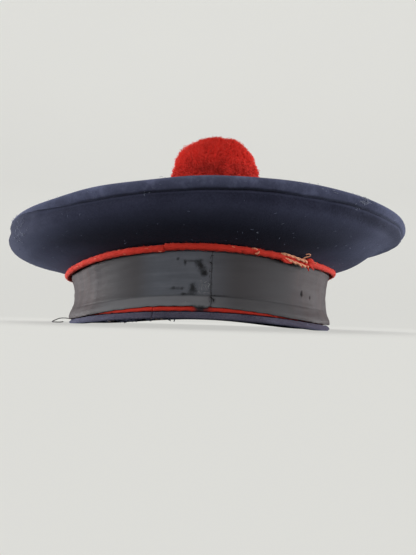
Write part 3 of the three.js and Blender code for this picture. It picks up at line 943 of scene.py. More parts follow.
class CapColours(bpy.types.PropertyGroup):
    """Colours of the cap's finishes."""

    navy: colour_property("Navy", "Raised fibres of the navy wool", (0.040, 0.044, 0.078))
    navy_deep: colour_property("Deep navy", "Navy wool between the raised fibres", (0.015, 0.016, 0.030))
    # Used for the worn lip and the lint, and as painted light on the lip, the side's belly and the seam's
    # ridge.
    navy_worn_and_lit: colour_property("Worn navy", "Navy wool where the edge is rubbed", (0.116, 0.128, 0.212))
    # A darker copy of the navy for the crown's side: painted shade.
    navy_side_shaded: colour_property("Side navy", "Raised fibres of the crown's side", (0.031, 0.034, 0.062))
    navy_shade: colour_property("Seam navy", "Navy wool in the crown's seam", (0.005, 0.005, 0.008))
    # Painted shade along the seam and above the cord at the front.
    navy_sheen: colour_property("Navy sheen", "Glow of the navy wool's nap", (0.55, 0.62, 1.0))
    lint: colour_property("Lint", "Pale lint on the navy wool", (0.17, 0.19, 0.26))
    fluff: colour_property("Fluff", "Pale fluff caught on the crown", (0.34, 0.37, 0.45))
    ribbon: colour_property("Ribbon", "Ribbon at the front", (0.134, 0.143, 0.168))
    ribbon_deep: colour_property("Deep ribbon", "Darker streaks of the ribbon", (0.095, 0.102, 0.120))
    ribbon_dull: colour_property("Dull ribbon", "Ribbon beside its front", (0.064, 0.060, 0.064))
    # Browned ends, with a painted sheen on them.
    ribbon_browned_and_sheen: colour_property("Browned ribbon", "Ribbon where it has browned", (0.047, 0.029, 0.027))
    # Painted highlights on the folds towards the ribbon's ends.
    ribbon_fold_highlight: colour_property("Faded ribbon", "Folds that catch the light", (0.100, 0.063, 0.058))
    # Rubbed flecks, and painted light on the ribbon's foot.
    ribbon_pale_and_lit: colour_property("Pale ribbon", "Rubbed flecks of the ribbon", (0.24, 0.24, 0.25))
    ribbon_crack: colour_property("Ribbon crack", "Bare threads in the ribbon's cracks", (0.40, 0.41, 0.42))
    ribbon_sheen: colour_property("Ribbon sheen", "Glow of the ribbon", (1.0, 0.86, 0.80))
    # Stains and the dark join, and painted shade in the crease and the holes.
    stain_and_shade: colour_property("Stain", "Dark stains on the ribbon", (0.008, 0.008, 0.010))
    soil: colour_property("Soil", "Soiled place of the lower cord", (0.030, 0.023, 0.030))
    cord_red: colour_property("Cord red", "Cover of the red cords", (0.66, 0.035, 0.020))
    cord_red_deep: colour_property("Deep cord red", "Hollows of the cords' cover", (0.52, 0.030, 0.018))
    cord_core: colour_property("Cord core", "Pale core where the cover is torn", (0.74, 0.34, 0.20))
    pale_thread: colour_property("Pale thread", "Thread of the cord's stitches", (0.70, 0.32, 0.19))
    dark_thread: colour_property("Dark thread", "Thread of the ribbon's join", (0.010, 0.010, 0.012))
    loose_thread: colour_property("Loose thread", "Thread that has come off the rim", (0.10, 0.075, 0.095))
    binding: colour_property("Binding", "Raised fibres of the rim's binding", (0.114, 0.108, 0.152))
    binding_deep: colour_property("Deep binding", "Binding between the raised fibres", (0.045, 0.040, 0.064))
    # Painted shade on the binding's right end.
    binding_shade: colour_property("Worn binding", "Binding at its browned right end", (0.056, 0.040, 0.056))
    hem: colour_property("Hem", "Pale cloth in the frayed hem", (0.24, 0.19, 0.17))
    wool_red: colour_property("Wool red", "Tips of the pompom's wool", (0.88, 0.040, 0.027))
    # Darker roots and lower part of the pompom: painted shade, together with the nap's tone.
    wool_red_deep_and_shaded: colour_property("Deep wool red", "Roots of the pompom's wool", (0.46, 0.030, 0.023))
    wool_red_sheen: colour_property("Wool sheen", "Glow of the pompom's wool", (1.0, 0.25, 0.2))
    paper: colour_property("Paper", "Floor and backdrop", (0.433, 0.433, 0.418))
    paper_floor: colour_property("Paper floor", "Floor under the cap", (0.27, 0.27, 0.261))
    paper_glow: colour_property("Paper glow", "Light that the paper lets through", (0.55, 0.55, 0.527))
    paper_bounce: colour_property("Paper bounce", "Light that the paper throws back", (0.12, 0.12, 0.12))


class CapDetail(bpy.types.PropertyGroup):
    """Sizes and counts of the cap's fine parts."""

    strand_count: bpy.props.IntProperty(
        name="Strands", description="Strands of wool in the pompom", default=23000, min=1000, max=23000)
    strand_radius: bpy.props.FloatProperty(
        name="Strand radius", description="Radius of a pompom strand at its root", default=0.00026,
        unit="LENGTH", precision=5)
    lint_count: bpy.props.IntProperty(
        name="Lint", description="Stray fibres on the crown", default=260, min=0, max=3000)
    cord_fuzz_count: bpy.props.IntProperty(
        name="Cord fuzz", description="Short fibres on the upper cord", default=1600, min=0, max=5000)


class CapStage(bpy.types.PropertyGroup):
    """Camera and light."""

    camera_distance: bpy.props.FloatProperty(
        name="Camera distance", description="From the camera to the cap's axis", default=0.335, unit="LENGTH")
    camera_height: bpy.props.FloatProperty(
        name="Camera height", description="Of the camera above the floor", default=0.0042, unit="LENGTH")
    camera_side: bpy.props.FloatProperty(
        name="Camera side", description="Of the camera towards +X", default=0.0008, unit="LENGTH")
    pitch: bpy.props.FloatProperty(
        name="Pitch", description="How far the camera looks up", default=math.radians(5.33), subtype="ANGLE")
    roll: bpy.props.FloatProperty(
        name="Roll", description="How far the camera is tipped to its side", default=math.radians(1.7),
        subtype="ANGLE")
    lens: bpy.props.FloatProperty(
        name="Lens", description="Focal length in millimetres", default=30.03, min=10.0, max=200.0)
    overhead: bpy.props.FloatProperty(
        name="Overhead light", description="Power of the overhead light", default=4.0, unit="POWER")
    left: bpy.props.FloatProperty(
        name="Left light", description="Power of the light at the left", default=0.95, unit="POWER")
    right: bpy.props.FloatProperty(
        name="Right light", description="Power of the light at the right", default=0.88, unit="POWER")
    front: bpy.props.FloatProperty(
        name="Front light", description="Power of the front light", default=7.4, unit="POWER")
    sky: bpy.props.FloatProperty(
        name="Sky", description="Strength of the even light from all round", default=1.15, min=0.0, max=5.0)


class CapSettings(bpy.types.PropertyGroup):
    """All that a user may change."""

    colours: bpy.props.PointerProperty(type=CapColours)
    detail: bpy.props.PointerProperty(type=CapDetail)
    stage: bpy.props.PointerProperty(type=CapStage)


def twist_share(bearing):
    """How far the edge is twisted up: 1 at the left end and 0 over the rest of the crown."""
    turn = turn_between(bearing, 0.0)
    return smooth_step(turn, TWIST_START, TWIST_FULL) * smooth_step(turn, TWIST_END, TWIST_FADE)


def top_rows(bearing, depth=0.0):
    """The crown's top at a depth in its cloth, from near its middle over the rolled edge to the seam.

    The rows are radii and heights for each bearing.
    """
    dome = [(radius, CROWN_CENTRE_HEIGHT - depth - fall) for radius, fall in TOP_FALLS]
    start = (CROWN_RADIUS - EDGE_ROLL_RADIUS, EDGE_HEIGHT + EDGE_ROLL_RADIUS - depth)
    flat = smooth_curve([*dome, start], TOP_ROWS)[1:-1]
    bearing = np.asarray(bearing, float)
    end = ROLL_END + (TWIST_ROLL_END - ROLL_END) * twist_share(bearing)
    share = np.linspace(0.0, 1.0, ROLL_ROWS)[:, None]
    angle = np.radians(ROLL_START + (end[None, :] - ROLL_START) * share)
    roll = EDGE_ROLL_RADIUS - depth
    wide = np.ones((1, len(bearing)))
    radius = np.vstack([flat[:, :1] * wide, CROWN_RADIUS - EDGE_ROLL_RADIUS + roll * np.cos(angle)])
    height = np.vstack([flat[:, 1:] * wide, EDGE_HEIGHT + roll * np.sin(angle)])
    return radius, height


def side_profile(count=SIDE_ROWS):
    """The outside of the crown's side, from the band up to behind the rolled edge."""
    out, up = np.asarray(SIDE_SHARES).T
    radius = SIDE_FOOT[0] + (SIDE_SEAM[0] - SIDE_FOOT[0]) * out
    height = SIDE_FOOT[1] + (SIDE_SEAM[1] - SIDE_FOOT[1]) * up
    return smooth_curve(np.stack([radius, height], axis=-1), count)


def twisted(radius, bearing, height):
    """Places on the crown's side, drawn out and up to meet the lip where the edge is twisted."""
    share = twist_share(bearing) * smooth_step(height, TWIST_FOOT, TWIST_TOP)
    return radius + TWIST_OUT * share, bearing, height + TWIST_UP * share


def crown_relief(bearing, height):
    """Small unevenness of the felt, with the puckers and the ridge along the seam."""
    slow = FELT_UNEVENNESS * uneven(np.radians(bearing) * 6.0, height * 160.0, seed=3)
    by_seam = hump(height - EDGE_ZONE_FOOT, 0.006)
    pucker = SEAM_PUCKER * by_seam * uneven(np.radians(bearing) * 24.0, height * 60.0, seed=5)
    ridge = SEAM_RIDGE_HEIGHT * hump(height - SEAM_RIDGE_AT, SEAM_RIDGE_SPREAD)
    return slow + pucker + ridge * (0.75 + 0.25 * uneven(np.radians(bearing) * 9.0, seed=8))


def seam_groove(bearing, height):
    """How far the side is drawn in by the seam under the lip, less where the edge is twisted."""
    plain = 1.0 - twist_share(bearing)
    return SEAM_GROOVE_DEPTH * smooth_step(height, SEAM_GROOVE_FOOT, EDGE_ZONE_FOOT) * plain


def seam_places(bearing, height):
    """Where places on the crown lie by its seam: how plain it is there, and the round cap's height."""
    return np.stack(np.broadcast_arrays(1.0 - twist_share(bearing), height), axis=-1)


def crown_top(material):
    """The round top: a cloth wall with one point at its middle on each face."""
    bearings = around_bearings(ROUND_COLUMNS)
    radius, outer_height = top_rows(bearings)
    shell_out = worn(radius, bearings[None, :], outer_height)
    relief = crown_relief(bearings[None, :], outer_height)
    shell_out[..., 2] += smooth_step(radius, 0.06, CROWN_RADIUS) * relief
    radius, height = top_rows(bearings, CLOTH)
    shell_in = worn(radius, bearings[None, :], height)[::-2]
    rows = np.concatenate([shell_out, shell_in])
    poles = worn(np.zeros(2), np.zeros(2), CROWN_CENTRE_HEIGHT - np.array([0.0, CLOTH]))
    count = len(rows) * ROUND_COLUMNS
    ring = np.arange(ROUND_COLUMNS)
    following = (ring + 1) % ROUND_COLUMNS
    last = count - ROUND_COLUMNS
    fans = [
        np.stack([np.full(ROUND_COLUMNS, count), following, ring], axis=-1),
        np.stack([np.full(ROUND_COLUMNS, count + 1), last + ring, last + following], axis=-1),
    ]
    faces = [grid_faces(len(rows), ROUND_COLUMNS, False, True), np.concatenate(fans)]
    inner = np.full_like(height[::-2], CROWN_CENTRE_HEIGHT)
    sheets = [seam_places(bearings, outer_height), seam_places(bearings, inner)]
    middle = np.full((2, 2), CROWN_CENTRE_HEIGHT)
    places = np.concatenate([np.concatenate(sheets).reshape(-1, 2), middle])
    return mesh_piece("crown_top", np.concatenate([rows.reshape(-1, 3), poles]), faces, material, places)


def crown_side(material):
    """The side of the crown, from the band out to the seam."""
    outside = side_profile()
    inside = set_back(side_profile(BACK_ROWS), CLOTH)
    inside[0] = (SIDE_FOOT[0], SIDE_FOOT[1] + CLOTH)
    section = np.vstack([outside, inside[::-1]])
    shown = np.concatenate([np.ones(len(outside)), np.zeros(len(inside))])[:, None]
    bearings = around_bearings(ROUND_COLUMNS)[None, :]
    radius, height = section[:, 0, None], section[:, 1, None]
    relief = shown * crown_relief(bearings, height) * smooth_step(height, 0.038, 0.044)
    relief = relief - shown * seam_groove(bearings, height)
    points = worn(*twisted(radius + relief, bearings, height))
    faces = [grid_faces(len(section), ROUND_COLUMNS, True, True)]
    return mesh_piece("crown_side", points, faces, material, seam_places(bearings, height))


def band_wall(material):
    """The upright head band behind the ribbon."""
    outside = smooth_curve([(WALL_RADIUS + flare, height) for flare, height in WALL_FLARES], WALL_ROWS)
    inside = outside - [WALL_THICKNESS, 0.0]
    section = np.vstack([outside, inside[::-1]])
    points = worn(section[:, 0, None], around_bearings(ROUND_COLUMNS)[None, :], section[:, 1, None])
    return mesh_piece("band", points, [grid_faces(len(section), ROUND_COLUMNS, True, True)], material)


def rim_binding(material):
    """The cloth strip folded round the band's lower edge."""
    outside = smooth_curve([(WALL_RADIUS + stand, height) for stand, height in BINDING_STANDS], BINDING_ROWS)
    outer_back = WALL_RADIUS + GAP
    inner_back = WALL_RADIUS - WALL_THICKNESS - GAP
    inner_face = inner_back - BINDING_CLOTH
    inside = [
        (outer_back, BINDING_OUTER_HEIGHT), (outer_back, BINDING_FLOOR), (inner_back, BINDING_FLOOR),
        (inner_back, BINDING_INNER_HEIGHT), (inner_face, BINDING_INNER_HEIGHT), (inner_face, 0.0),
    ]
    section = np.vstack([outside, inside])
    shown = np.concatenate([np.ones(len(outside)), np.zeros(len(inside))])[:, None]
    bearings = strip_bearings(RIM_BINDING_JOIN, [(RIM_BINDING_JOIN - 359.5, ROUND_COLUMNS)])
    turn = np.radians(bearings)[None, :]
    height = section[:, 1, None]
    lumps = RIM_LUMPS * uneven(turn * 14.0, height * 700.0, seed=12)
    bulge = RIM_BULGE * hump(turn_between(bearings[None, :], RIM_BULGE_BEARING), RIM_BULGE_SPREAD)
    bulge = bulge * hump(height - RIM_BULGE_HEIGHT, RIM_BULGE_RISE)
    radius = section[:, 0, None] + shown * (bulge + lumps * smooth_step(height, 0.0, 0.0012))
    points = worn(radius, bearings[None, :], height)
    return mesh_piece("rim_binding", points, strip_faces(len(section), len(bearings)), material)


class CAP_OT_crown(bpy.types.Operator):
    """Make the felted crown: its round top with the rolled edge, and its side"""

    bl_idname = "sailor_cap.crown"
    bl_label = "Crown"

    def execute(self, context):
        colours = context.scene.sailor_cap.colours
        tones = (colours.navy_deep, colours.navy)
        top_felt = navy_felt("crown_top_felt", colours, *tones, wear_and_painted_light=(worn_and_lit_lip, side_light_and_shade))
        settle(crown_top(top_felt), "crown_top")
        # The side's darker tone is painted shade.
        shaded_side_tones = (colours.navy_deep, colours.navy_side_shaded)
        side_felt = navy_felt(
            "crown_side_felt", colours, *shaded_side_tones, wear_and_painted_light=(side_light_and_shade,), speck_share=0.012, sheen=0.06)
        settle(crown_side(side_felt), "crown_side")
        return {"FINISHED"}


class CAP_OT_band(bpy.types.Operator):
    """Make the head band and the binding of its rim"""

    bl_idname = "sailor_cap.band"
    bl_label = "Band and rim binding"

    def execute(self, context):
        colours = context.scene.sailor_cap.colours
        wall_felt = navy_felt("band_felt", colours, colours.navy_deep, colours.navy)
        settle(band_wall(wall_felt), "band")
        rim_tones = (colours.binding_deep, colours.binding)
        rim_felt = navy_felt("binding_felt", colours, *rim_tones, wear_and_painted_light=(shaded_right_end,), speck_share=0.06)
        settle(rim_binding(rim_felt), "rim_binding")
        return {"FINISHED"}


def mark_reach(mark, bearing, height):
    """How far a place on the ribbon is from a mark's middle, in half sizes."""
    across = np.radians(turn_between(bearing, mark.bearing)) * RIBBON_UV_RADIUS / mark.half_width
    return np.hypot(across, (height - mark.height) / mark.half_height)


def ribbon_relief(bearing, height):
    """How far the ribbon's face stands out from its even run."""
    turn = turn_between(bearing, 0.0)
    by_join = turn - RIBBON_JOIN
    lap = LAP_HEIGHT * np.where(by_join >= 0.0, np.clip(1.0 - by_join / LAP_WIDTH, 0.0, 1.0), 0.0)
    pinch = LAP_PINCH * np.where(by_join < 0.0, hump(by_join, 1.6), 0.0)
    line = CREASE_HEIGHT + CREASE_TILT * np.radians(turn) * RIBBON_UV_RADIUS
    depth = CREASE_DEPTH * (0.2 + 0.8 * smooth_step(np.abs(turn), *CREASE_FADE))
    crease = depth * hump(height - line, CREASE_SPREAD)
    tuck = TUCK_DEPTH * smooth_step(bearing, RIBBON_JOIN - 0.5, RIBBON_JOIN)
    total = np.where(bearing > RIBBON_JOIN - 0.5, -tuck, lap - pinch) - crease
    for fold in RIBBON_FOLDS:
        total = total + fold.height * hump(turn - fold.bearing, fold.spread)
    total = total + RIBBON_UNEVENNESS * uneven(np.radians(turn) * 5.0, height * 420.0, seed=23)
    for hole in RIBBON_HOLES:
        total = total - HOLE_DEPTH * smooth_step(mark_reach(hole, bearing, height), 1.15, 0.75)
    return total


def ribbon_foot_shift(bearing, height):
    """How far the ribbon's lower edge stands from its even run, with the tab of the join hanging down."""
    share = np.clip((RIBBON_FOOT_TOP - height) / (RIBBON_FOOT_TOP - RIBBON_FOOT), 0.0, 1.0)
    half = math.degrees(JOIN_TAB.half_width / RIBBON_UV_RADIUS)
    away = np.abs(turn_between(bearing, JOIN_TAB.bearing))
    tab = JOIN_TAB.half_height * smooth_step(away, 1.3 * half, 0.35 * half)
    ragged = RIBBON_FOOT_RAGGED * uneven(np.radians(bearing) * 30.0, seed=29)
    return (level_shift(RIBBON_FOOT_LEVEL, bearing) + ragged - tab * share**2) * share


def ribbon_strip(material):
    """The ribbon: a thin strip round the band with its ends lapped at the front."""
    back = smooth_curve([(WALL_RADIUS + stand, height) for stand, height in RIBBON_STANDS], BACK_ROWS)
    face = smooth_curve([(WALL_RADIUS + stand, height) for stand, height in RIBBON_STANDS], RIBBON_ROWS)
    face = face + [RIBBON_THICKNESS, 0.0]
    bearings = strip_bearings(RIBBON_JOIN, [(-95.0, 300), (-262.0, 150), (-354.95, 280)], TUCK_LENGTH)
    turn = bearings[None, :]
    section = np.vstack([face, back[::-1]])
    shown = np.concatenate([np.ones(len(face)), np.zeros(len(back))])[:, None]
    radius, height = section[:, 0, None], section[:, 1, None]
    radius = radius + shown * ribbon_relief(turn, height)
    points = worn(radius, turn, height + ribbon_foot_shift(turn, height))
    along = np.radians(turn_between(turn, 0.0)) * RIBBON_UV_RADIUS
    places = np.stack(np.broadcast_arrays(along, height), axis=-1)
    return mesh_piece("ribbon", points, strip_faces(len(section), len(bearings)), material, places)


def ribbon_point(bearing, height, stand=0.0):
    """Places on the ribbon's face, or a little above it."""
    bearing, height = np.broadcast_arrays(np.asarray(bearing, float), np.asarray(height, float))
    stands, heights = np.asarray(RIBBON_STANDS).T
    radius = WALL_RADIUS + np.interp(height, heights, stands) + RIBBON_THICKNESS
    radius = radius + ribbon_relief(bearing, height) + stand
    return worn(radius, bearing, height + ribbon_foot_shift(bearing, height))


def stitch_paths(bearings, heights, half_turn, half_rise, lift):
    """Short stitches on the ribbon, each an arch that dips into the cloth at both ends."""
    share = np.linspace(-1.0, 1.0, 5)
    turn = np.asarray(bearings)[:, None] + half_turn * share
    height = np.asarray(heights)[:, None] + half_rise * share
    return ribbon_point(turn, height, lift * (1.0 - 1.6 * share**2))


def coarse_stitches(material):
    """The few coarse stitches at the foot of the join, each a flat run from one place to another."""
    share = np.linspace(0.0, 1.0, 7)
    paths = []
    for stitch in COARSE_STITCHES:
        bearing = stitch.bearing + stitch.turn * share
        height = stitch.height + stitch.rise * share
        paths.append(ribbon_point(bearing, height, 0.00014 - 0.0005 * (2.0 * share - 1.0) ** 6))
    radii = np.array([[stitch.radius] for stitch in COARSE_STITCHES])
    return strands_piece("ribbon_coarse_stitches", np.stack(paths), radii, material, sides=6)


def ribbon_cracks(material):
    """Pale cracks where the ribbon's surface is broken."""
    paths = [ribbon_point(*curve_path(knots, 12).T, 0.00002) for knots in RIBBON_CRACKS]
    taper = np.sin(np.linspace(0.25, np.pi - 0.25, 12))
    return strands_piece("ribbon_cracks", np.stack(paths), CRACK_RADIUS * taper, material, sides=5)


class CAP_OT_ribbon(bpy.types.Operator):
    """Make the faded ribbon with its stitched join"""

    bl_idname = "sailor_cap.ribbon"
    bl_label = "Ribbon"

    def execute(self, context):
        colours = context.scene.sailor_cap.colours
        strip = settle(ribbon_strip(ribbon_silk(colours)), "ribbon")
        sheen = colours.ribbon_sheen
        dark = woolly("dark_thread", colours.stain_and_shade, colours.dark_thread, 2500.0, 0.2, 0.1, sheen)
        jitter = JOIN_STITCH_JITTER * uneven(JOIN_STITCH_HEIGHTS * 900.0, seed=31)
        bearings = JOIN_STITCH_BEARING + jitter
        paths = stitch_paths(bearings, JOIN_STITCH_HEIGHTS, 0.06, 0.0007, 0.00012)
        stitches = strands_piece("ribbon_join_stitches", paths, JOIN_STITCH_RADIUS, dark, sides=5)
        settle(stitches)
        coarse = settle(coarse_stitches(dark))
        rubbed = woolly("rubbed_silk", colours.ribbon, colours.ribbon_crack, 900.0, 0.2, 0.1, sheen)
        cracks = settle(ribbon_cracks(rubbed))
        return {"FINISHED"}


def cord_bearings(join):
    """Bearings along a cord from its join round to the left."""
    return strip_bearings(join, [(join - 359.5, CORD_COLUMNS)])


def upper_cord_centre(bearing):
    """The height of the upper cord's middle on the round cap, lower where it starts at its join."""
    along = (UPPER_CORD_JOIN - np.asarray(bearing)) % 360.0 / 360.0
    return UPPER_CORD_HEIGHT - UPPER_CORD_STEP * hump(along, UPPER_CORD_STEP_SHARE)


def upper_cord_radius(bearing):
    """The upper cord's thickness: lumpy, and shrunk where its cover is torn."""
    turn = turn_between(bearing, 0.0)
    lumps = CORD_LUMPS * uneven(np.radians(turn) * 30.0, seed=41)
    torn = smooth_step(turn, TORN_START - 1.5, TORN_START + 1.0)
    torn = torn * smooth_step(turn, TORN_END + 1.5, TORN_END - 1.0)
    end = 0.06 * hump(turn - UPPER_CORD_JOIN - 1.5, 2.5)
    return UPPER_CORD_RADIUS * (1.0 + lumps + end - TORN_SHRINK * torn)


def on_upper_cord(bearing, angle, lift=0.0):
    """Places on the upper cord's surface: an angle of 0 faces outward and 90 faces up."""
    reach = upper_cord_radius(bearing) + lift
    turn = np.radians(angle)
    radius = WALL_RADIUS + UPPER_CORD_STAND + reach * np.cos(turn)
    return worn(radius, bearing, upper_cord_centre(bearing) + reach * np.sin(turn))


def upper_cord(material):
    """The thick red cord over the ribbon's upper edge."""
    bearings = cord_bearings(UPPER_CORD_JOIN)[None, :]
    angles = np.linspace(0.0, 360.0, UPPER_CORD_SIDES, endpoint=False)[:, None]
    grain = CORD_GRAIN * uneven(np.radians(bearings) * 60.0, np.radians(angles) * 2.0, seed=43)
    points = on_upper_cord(bearings, angles, grain)
    return mesh_piece("upper_cord", points, strip_faces(*points.shape[:2]), material)


def lower_cord(material):
    """The thin red cord between the ribbon and the rim binding."""
    bearings = cord_bearings(LOWER_CORD_JOIN)[None, :]
    angles = np.linspace(0.0, 2.0 * np.pi, LOWER_CORD_SIDES, endpoint=False)[:, None]
    lumps = LOWER_CORD_LUMPS * uneven(np.radians(bearings) * 40.0, angles, seed=47)
    thick = LOWER_CORD_RADIUS * (1.0 + lumps)
    radius = WALL_RADIUS + GAP + LOWER_CORD_RADIUS + thick * np.cos(angles)
    points = worn(radius, bearings, LOWER_CORD_HEIGHT + thick * np.sin(angles))
    return mesh_piece("lower_cord", points, strip_faces(*points.shape[:2]), material)


def cord_fuzz(count, material):
    """Short red fibres that stand off the upper cord."""
    chance = np.random.default_rng(53)
    bearing = chance.uniform(-180.0, 180.0, count)[:, None]
    angle = chance.uniform(-100.0, 130.0, count)[:, None]
    share = np.linspace(0.0, 1.0, 3)
    bearing = bearing + chance.normal(0.0, 0.5, (count, 1)) * share
    angle = angle + chance.normal(0.0, 18.0, (count, 1)) * share
    paths = on_upper_cord(bearing, angle, chance.uniform(0.0003, 0.0008, (count, 1)) * share - 0.0001)
    return strands_piece("upper_cord_fuzz", paths, [0.00006, 0.00005, 0.00003], material)


CordStitch = namedtuple("CordStitch", "bearing slant low high radius")
CORD_STITCHES = [
    CordStitch(bearing=-57.0, slant=1.4, low=48, high=66, radius=0.00024),
    CordStitch(bearing=-49.6, slant=0.9, low=-44, high=-18, radius=0.00026),
    CordStitch(bearing=-46.0, slant=0.7, low=-20, high=12, radius=0.00022),
    CordStitch(bearing=-38.2, slant=1.2, low=-18, high=-4, radius=0.00018),
    CordStitch(bearing=-28.0, slant=1.3, low=52, high=64, radius=0.00018),
    CordStitch(bearing=-25.2, slant=0.8, low=-52, high=-34, radius=0.00018),
    CordStitch(bearing=-17.6, slant=1.6, low=2, high=14, radius=0.00018),
    CordStitch(bearing=-12.9, slant=1.2, low=-62, high=-46, radius=0.00028),
    CordStitch(bearing=10.2, slant=1.1, low=18, high=28, radius=0.00020),
    CordStitch(bearing=16.8, slant=2.0, low=34, high=46, radius=0.00044),
    CordStitch(bearing=19.3, slant=-1.0, low=-44, high=2, radius=0.00060),
    CordStitch(bearing=44.2, slant=0.7, low=14, high=36, radius=0.00044),
]

# The bare core strands in the torn stretch: bearing, angle on the cord and lift.
CORE_STRANDS = [
    [
        (27.8, 46, -0.0005), (29.4, 36, 0.0004), (31.8, 23, 0.0006),
        (35.2, 8, 0.0007), (38.4, -2, 0.0006), (40.0, -8, -0.0006),
    ],
    [
        (29.4, -30, -0.0006), (31.0, -42, 0.0005), (34.0, -54, 0.0008),
        (37.8, -62, 0.0011), (40.6, -62, 0.0010), (42.0, -56, -0.0006),
    ],
]

# Flaps of the torn cover, along the same places, each with its radius.
Flap = namedtuple("Flap", "radius knots")
CORD_FLAPS = [
    Flap(0.0009, [
        (27.6, -40, -0.0004), (29.0, -60, 0.0005), (30.8, -70, 0.0009), (32.4, -72, 0.0008),
        (33.4, -66, 0.0),
    ]),
    Flap(0.0006, [(28.6, -30, -0.0003), (30.4, -52, 0.0007), (31.8, -58, 0.0010), (33.2, -60, 0.0009)]),
    Flap(0.0006, [(36.6, -44, -0.0003), (37.4, -60, 0.0008), (37.6, -68, 0.0016), (37.2, -74, 0.0022)]),
    Flap(0.0008, [(38.4, -40, -0.0004), (39.6, -58, 0.0009), (40.4, -66, 0.0020), (40.8, -72, 0.0032)]),
    Flap(0.0008, [(40.0, -28, -0.0004), (41.4, -46, 0.0009), (42.6, -56, 0.0016), (43.4, -62, 0.0022)]),
    Flap(0.0011, [(39.8, 34, -0.0004), (41.0, 38, 0.0006), (42.2, 34, 0.0008), (43.6, 28, -0.0004)]),
    Flap(0.0010, [(40.2, 4, -0.0004), (41.4, 10, 0.0006), (42.6, 8, 0.0007), (43.6, 2, -0.0004)]),
    Flap(0.0007, [(29.6, 16, -0.0003), (31.4, 10, 0.0003), (33.6, 4, 0.0004), (36.0, 0, -0.0002)]),
]
Soil = namedtuple("Soil", "centre half_size colour")
SOILED_CENTRE = (-0.0022, -0.100, 0.0100)
SOILED_HALF_SIZE = (0.0046, 0.03, 0.008)
Shreds = namedtuple("Shreds", "bearing spread angle reach count")
CORD_SHREDS = [
    Shreds(bearing=30.5, spread=1.8, angle=-58, reach=0.0015, count=14),
    Shreds(bearing=40.0, spread=1.9, angle=-56, reach=0.0022, count=18),
    Shreds(bearing=41.6, spread=1.2, angle=24, reach=0.0012, count=14),
]
CORE_PLY_RADIUS = 0.00052
CORE_PLY_REACH = 0.00028
CORE_TURNS = 3.5

# The loop of core thread, along the same places.
CORE_LOOP = [
    (37.6, 40, -0.0003), (37.8, 38, 0.0010), (38.2, 36, 0.0021), (38.8, 34, 0.0031),
    (39.0, 34, 0.0041), (38.3, 35, 0.0047), (37.4, 35, 0.0045), (37.0, 34, 0.0037),
]


def cord_stitches(material):
    """Pale stitches that hold the upper cord down."""
    share = np.linspace(0.0, 1.0, 6)
    paths = []
    for stitch in CORD_STITCHES:
        bearing = stitch.bearing + stitch.slant * share
        angle = stitch.high + (stitch.low - stitch.high) * share
        paths.append(on_upper_cord(bearing, angle, 0.8 * stitch.radius - 0.0008 * (2.0 * share - 1.0) ** 4))
    radii = np.array([[stitch.radius] for stitch in CORD_STITCHES])
    return strands_piece("upper_cord_stitches", np.stack(paths), radii, material, sides=6)


def cord_path(knots, count):
    """A smooth path by bearing, angle and lift on the upper cord."""
    bearing, angle, lift = curve_path(knots, count).T
    return on_upper_cord(bearing, angle, lift)


def torn_core(material):
    """The pale core strands that show where the cord's cover is torn."""
    turn = 2.0 * np.pi * CORE_TURNS * np.linspace(0.0, 1.0, 60)
    paths = []
    for knots in CORE_STRANDS:
        bearing, angle, lift = curve_path(knots, 60).T
        for ply in (0.0, np.pi):
            out = CORE_PLY_REACH * np.sin(turn + ply)
            over = np.degrees(CORE_PLY_REACH * np.cos(turn + ply) / UPPER_CORD_RADIUS)
            paths.append(on_upper_cord(bearing, angle + over, lift + out))
    return strands_piece("upper_cord_core", np.stack(paths), CORE_PLY_RADIUS, material, sides=8)


def torn_loop(material):
    """A loop of core thread that stands above the torn stretch."""
    path = cord_path(CORE_LOOP, 36)[None]
    return strands_piece("upper_cord_core_loop", path, np.linspace(0.00042, 0.00032, 36), material, sides=8)


def torn_flaps(material):
    """Flaps of the torn red cover that lie along the tear."""
    share = np.linspace(0.0, 1.0, 16)
    swell = 0.35 + 0.65 * np.sin(np.pi * np.sqrt(share))
    paths = np.stack([cord_path(flap.knots, 16) for flap in CORD_FLAPS])
    radii = np.stack([flap.radius * swell for flap in CORD_FLAPS])
    return strands_piece("upper_cord_flaps", paths, radii, material, sides=10)


def torn_shreds(material):
    """Shreds of the torn red cover, curled down and out along both sides of the tear."""
    chance = np.random.default_rng(61)
    share = np.linspace(0.0, 1.0, 6)
    paths, radii = [], []
    for shred in CORD_SHREDS:
        for _ in range(shred.count):
            bearing = chance.normal(shred.bearing, shred.spread) + chance.normal(0.6, 1.0) * share
            angle = chance.normal(shred.angle, 12.0) + chance.normal(0.0, 10.0) * share
            lift = shred.reach * chance.uniform(0.4, 1.0) * share - 0.0002
            paths.append(on_upper_cord(bearing, angle, lift))
            radii.append(chance.uniform(0.0002, 0.0004) * (1.0 - 0.7 * share))
    return strands_piece("upper_cord_shreds", np.stack(paths), np.stack(radii), material, sides=5)


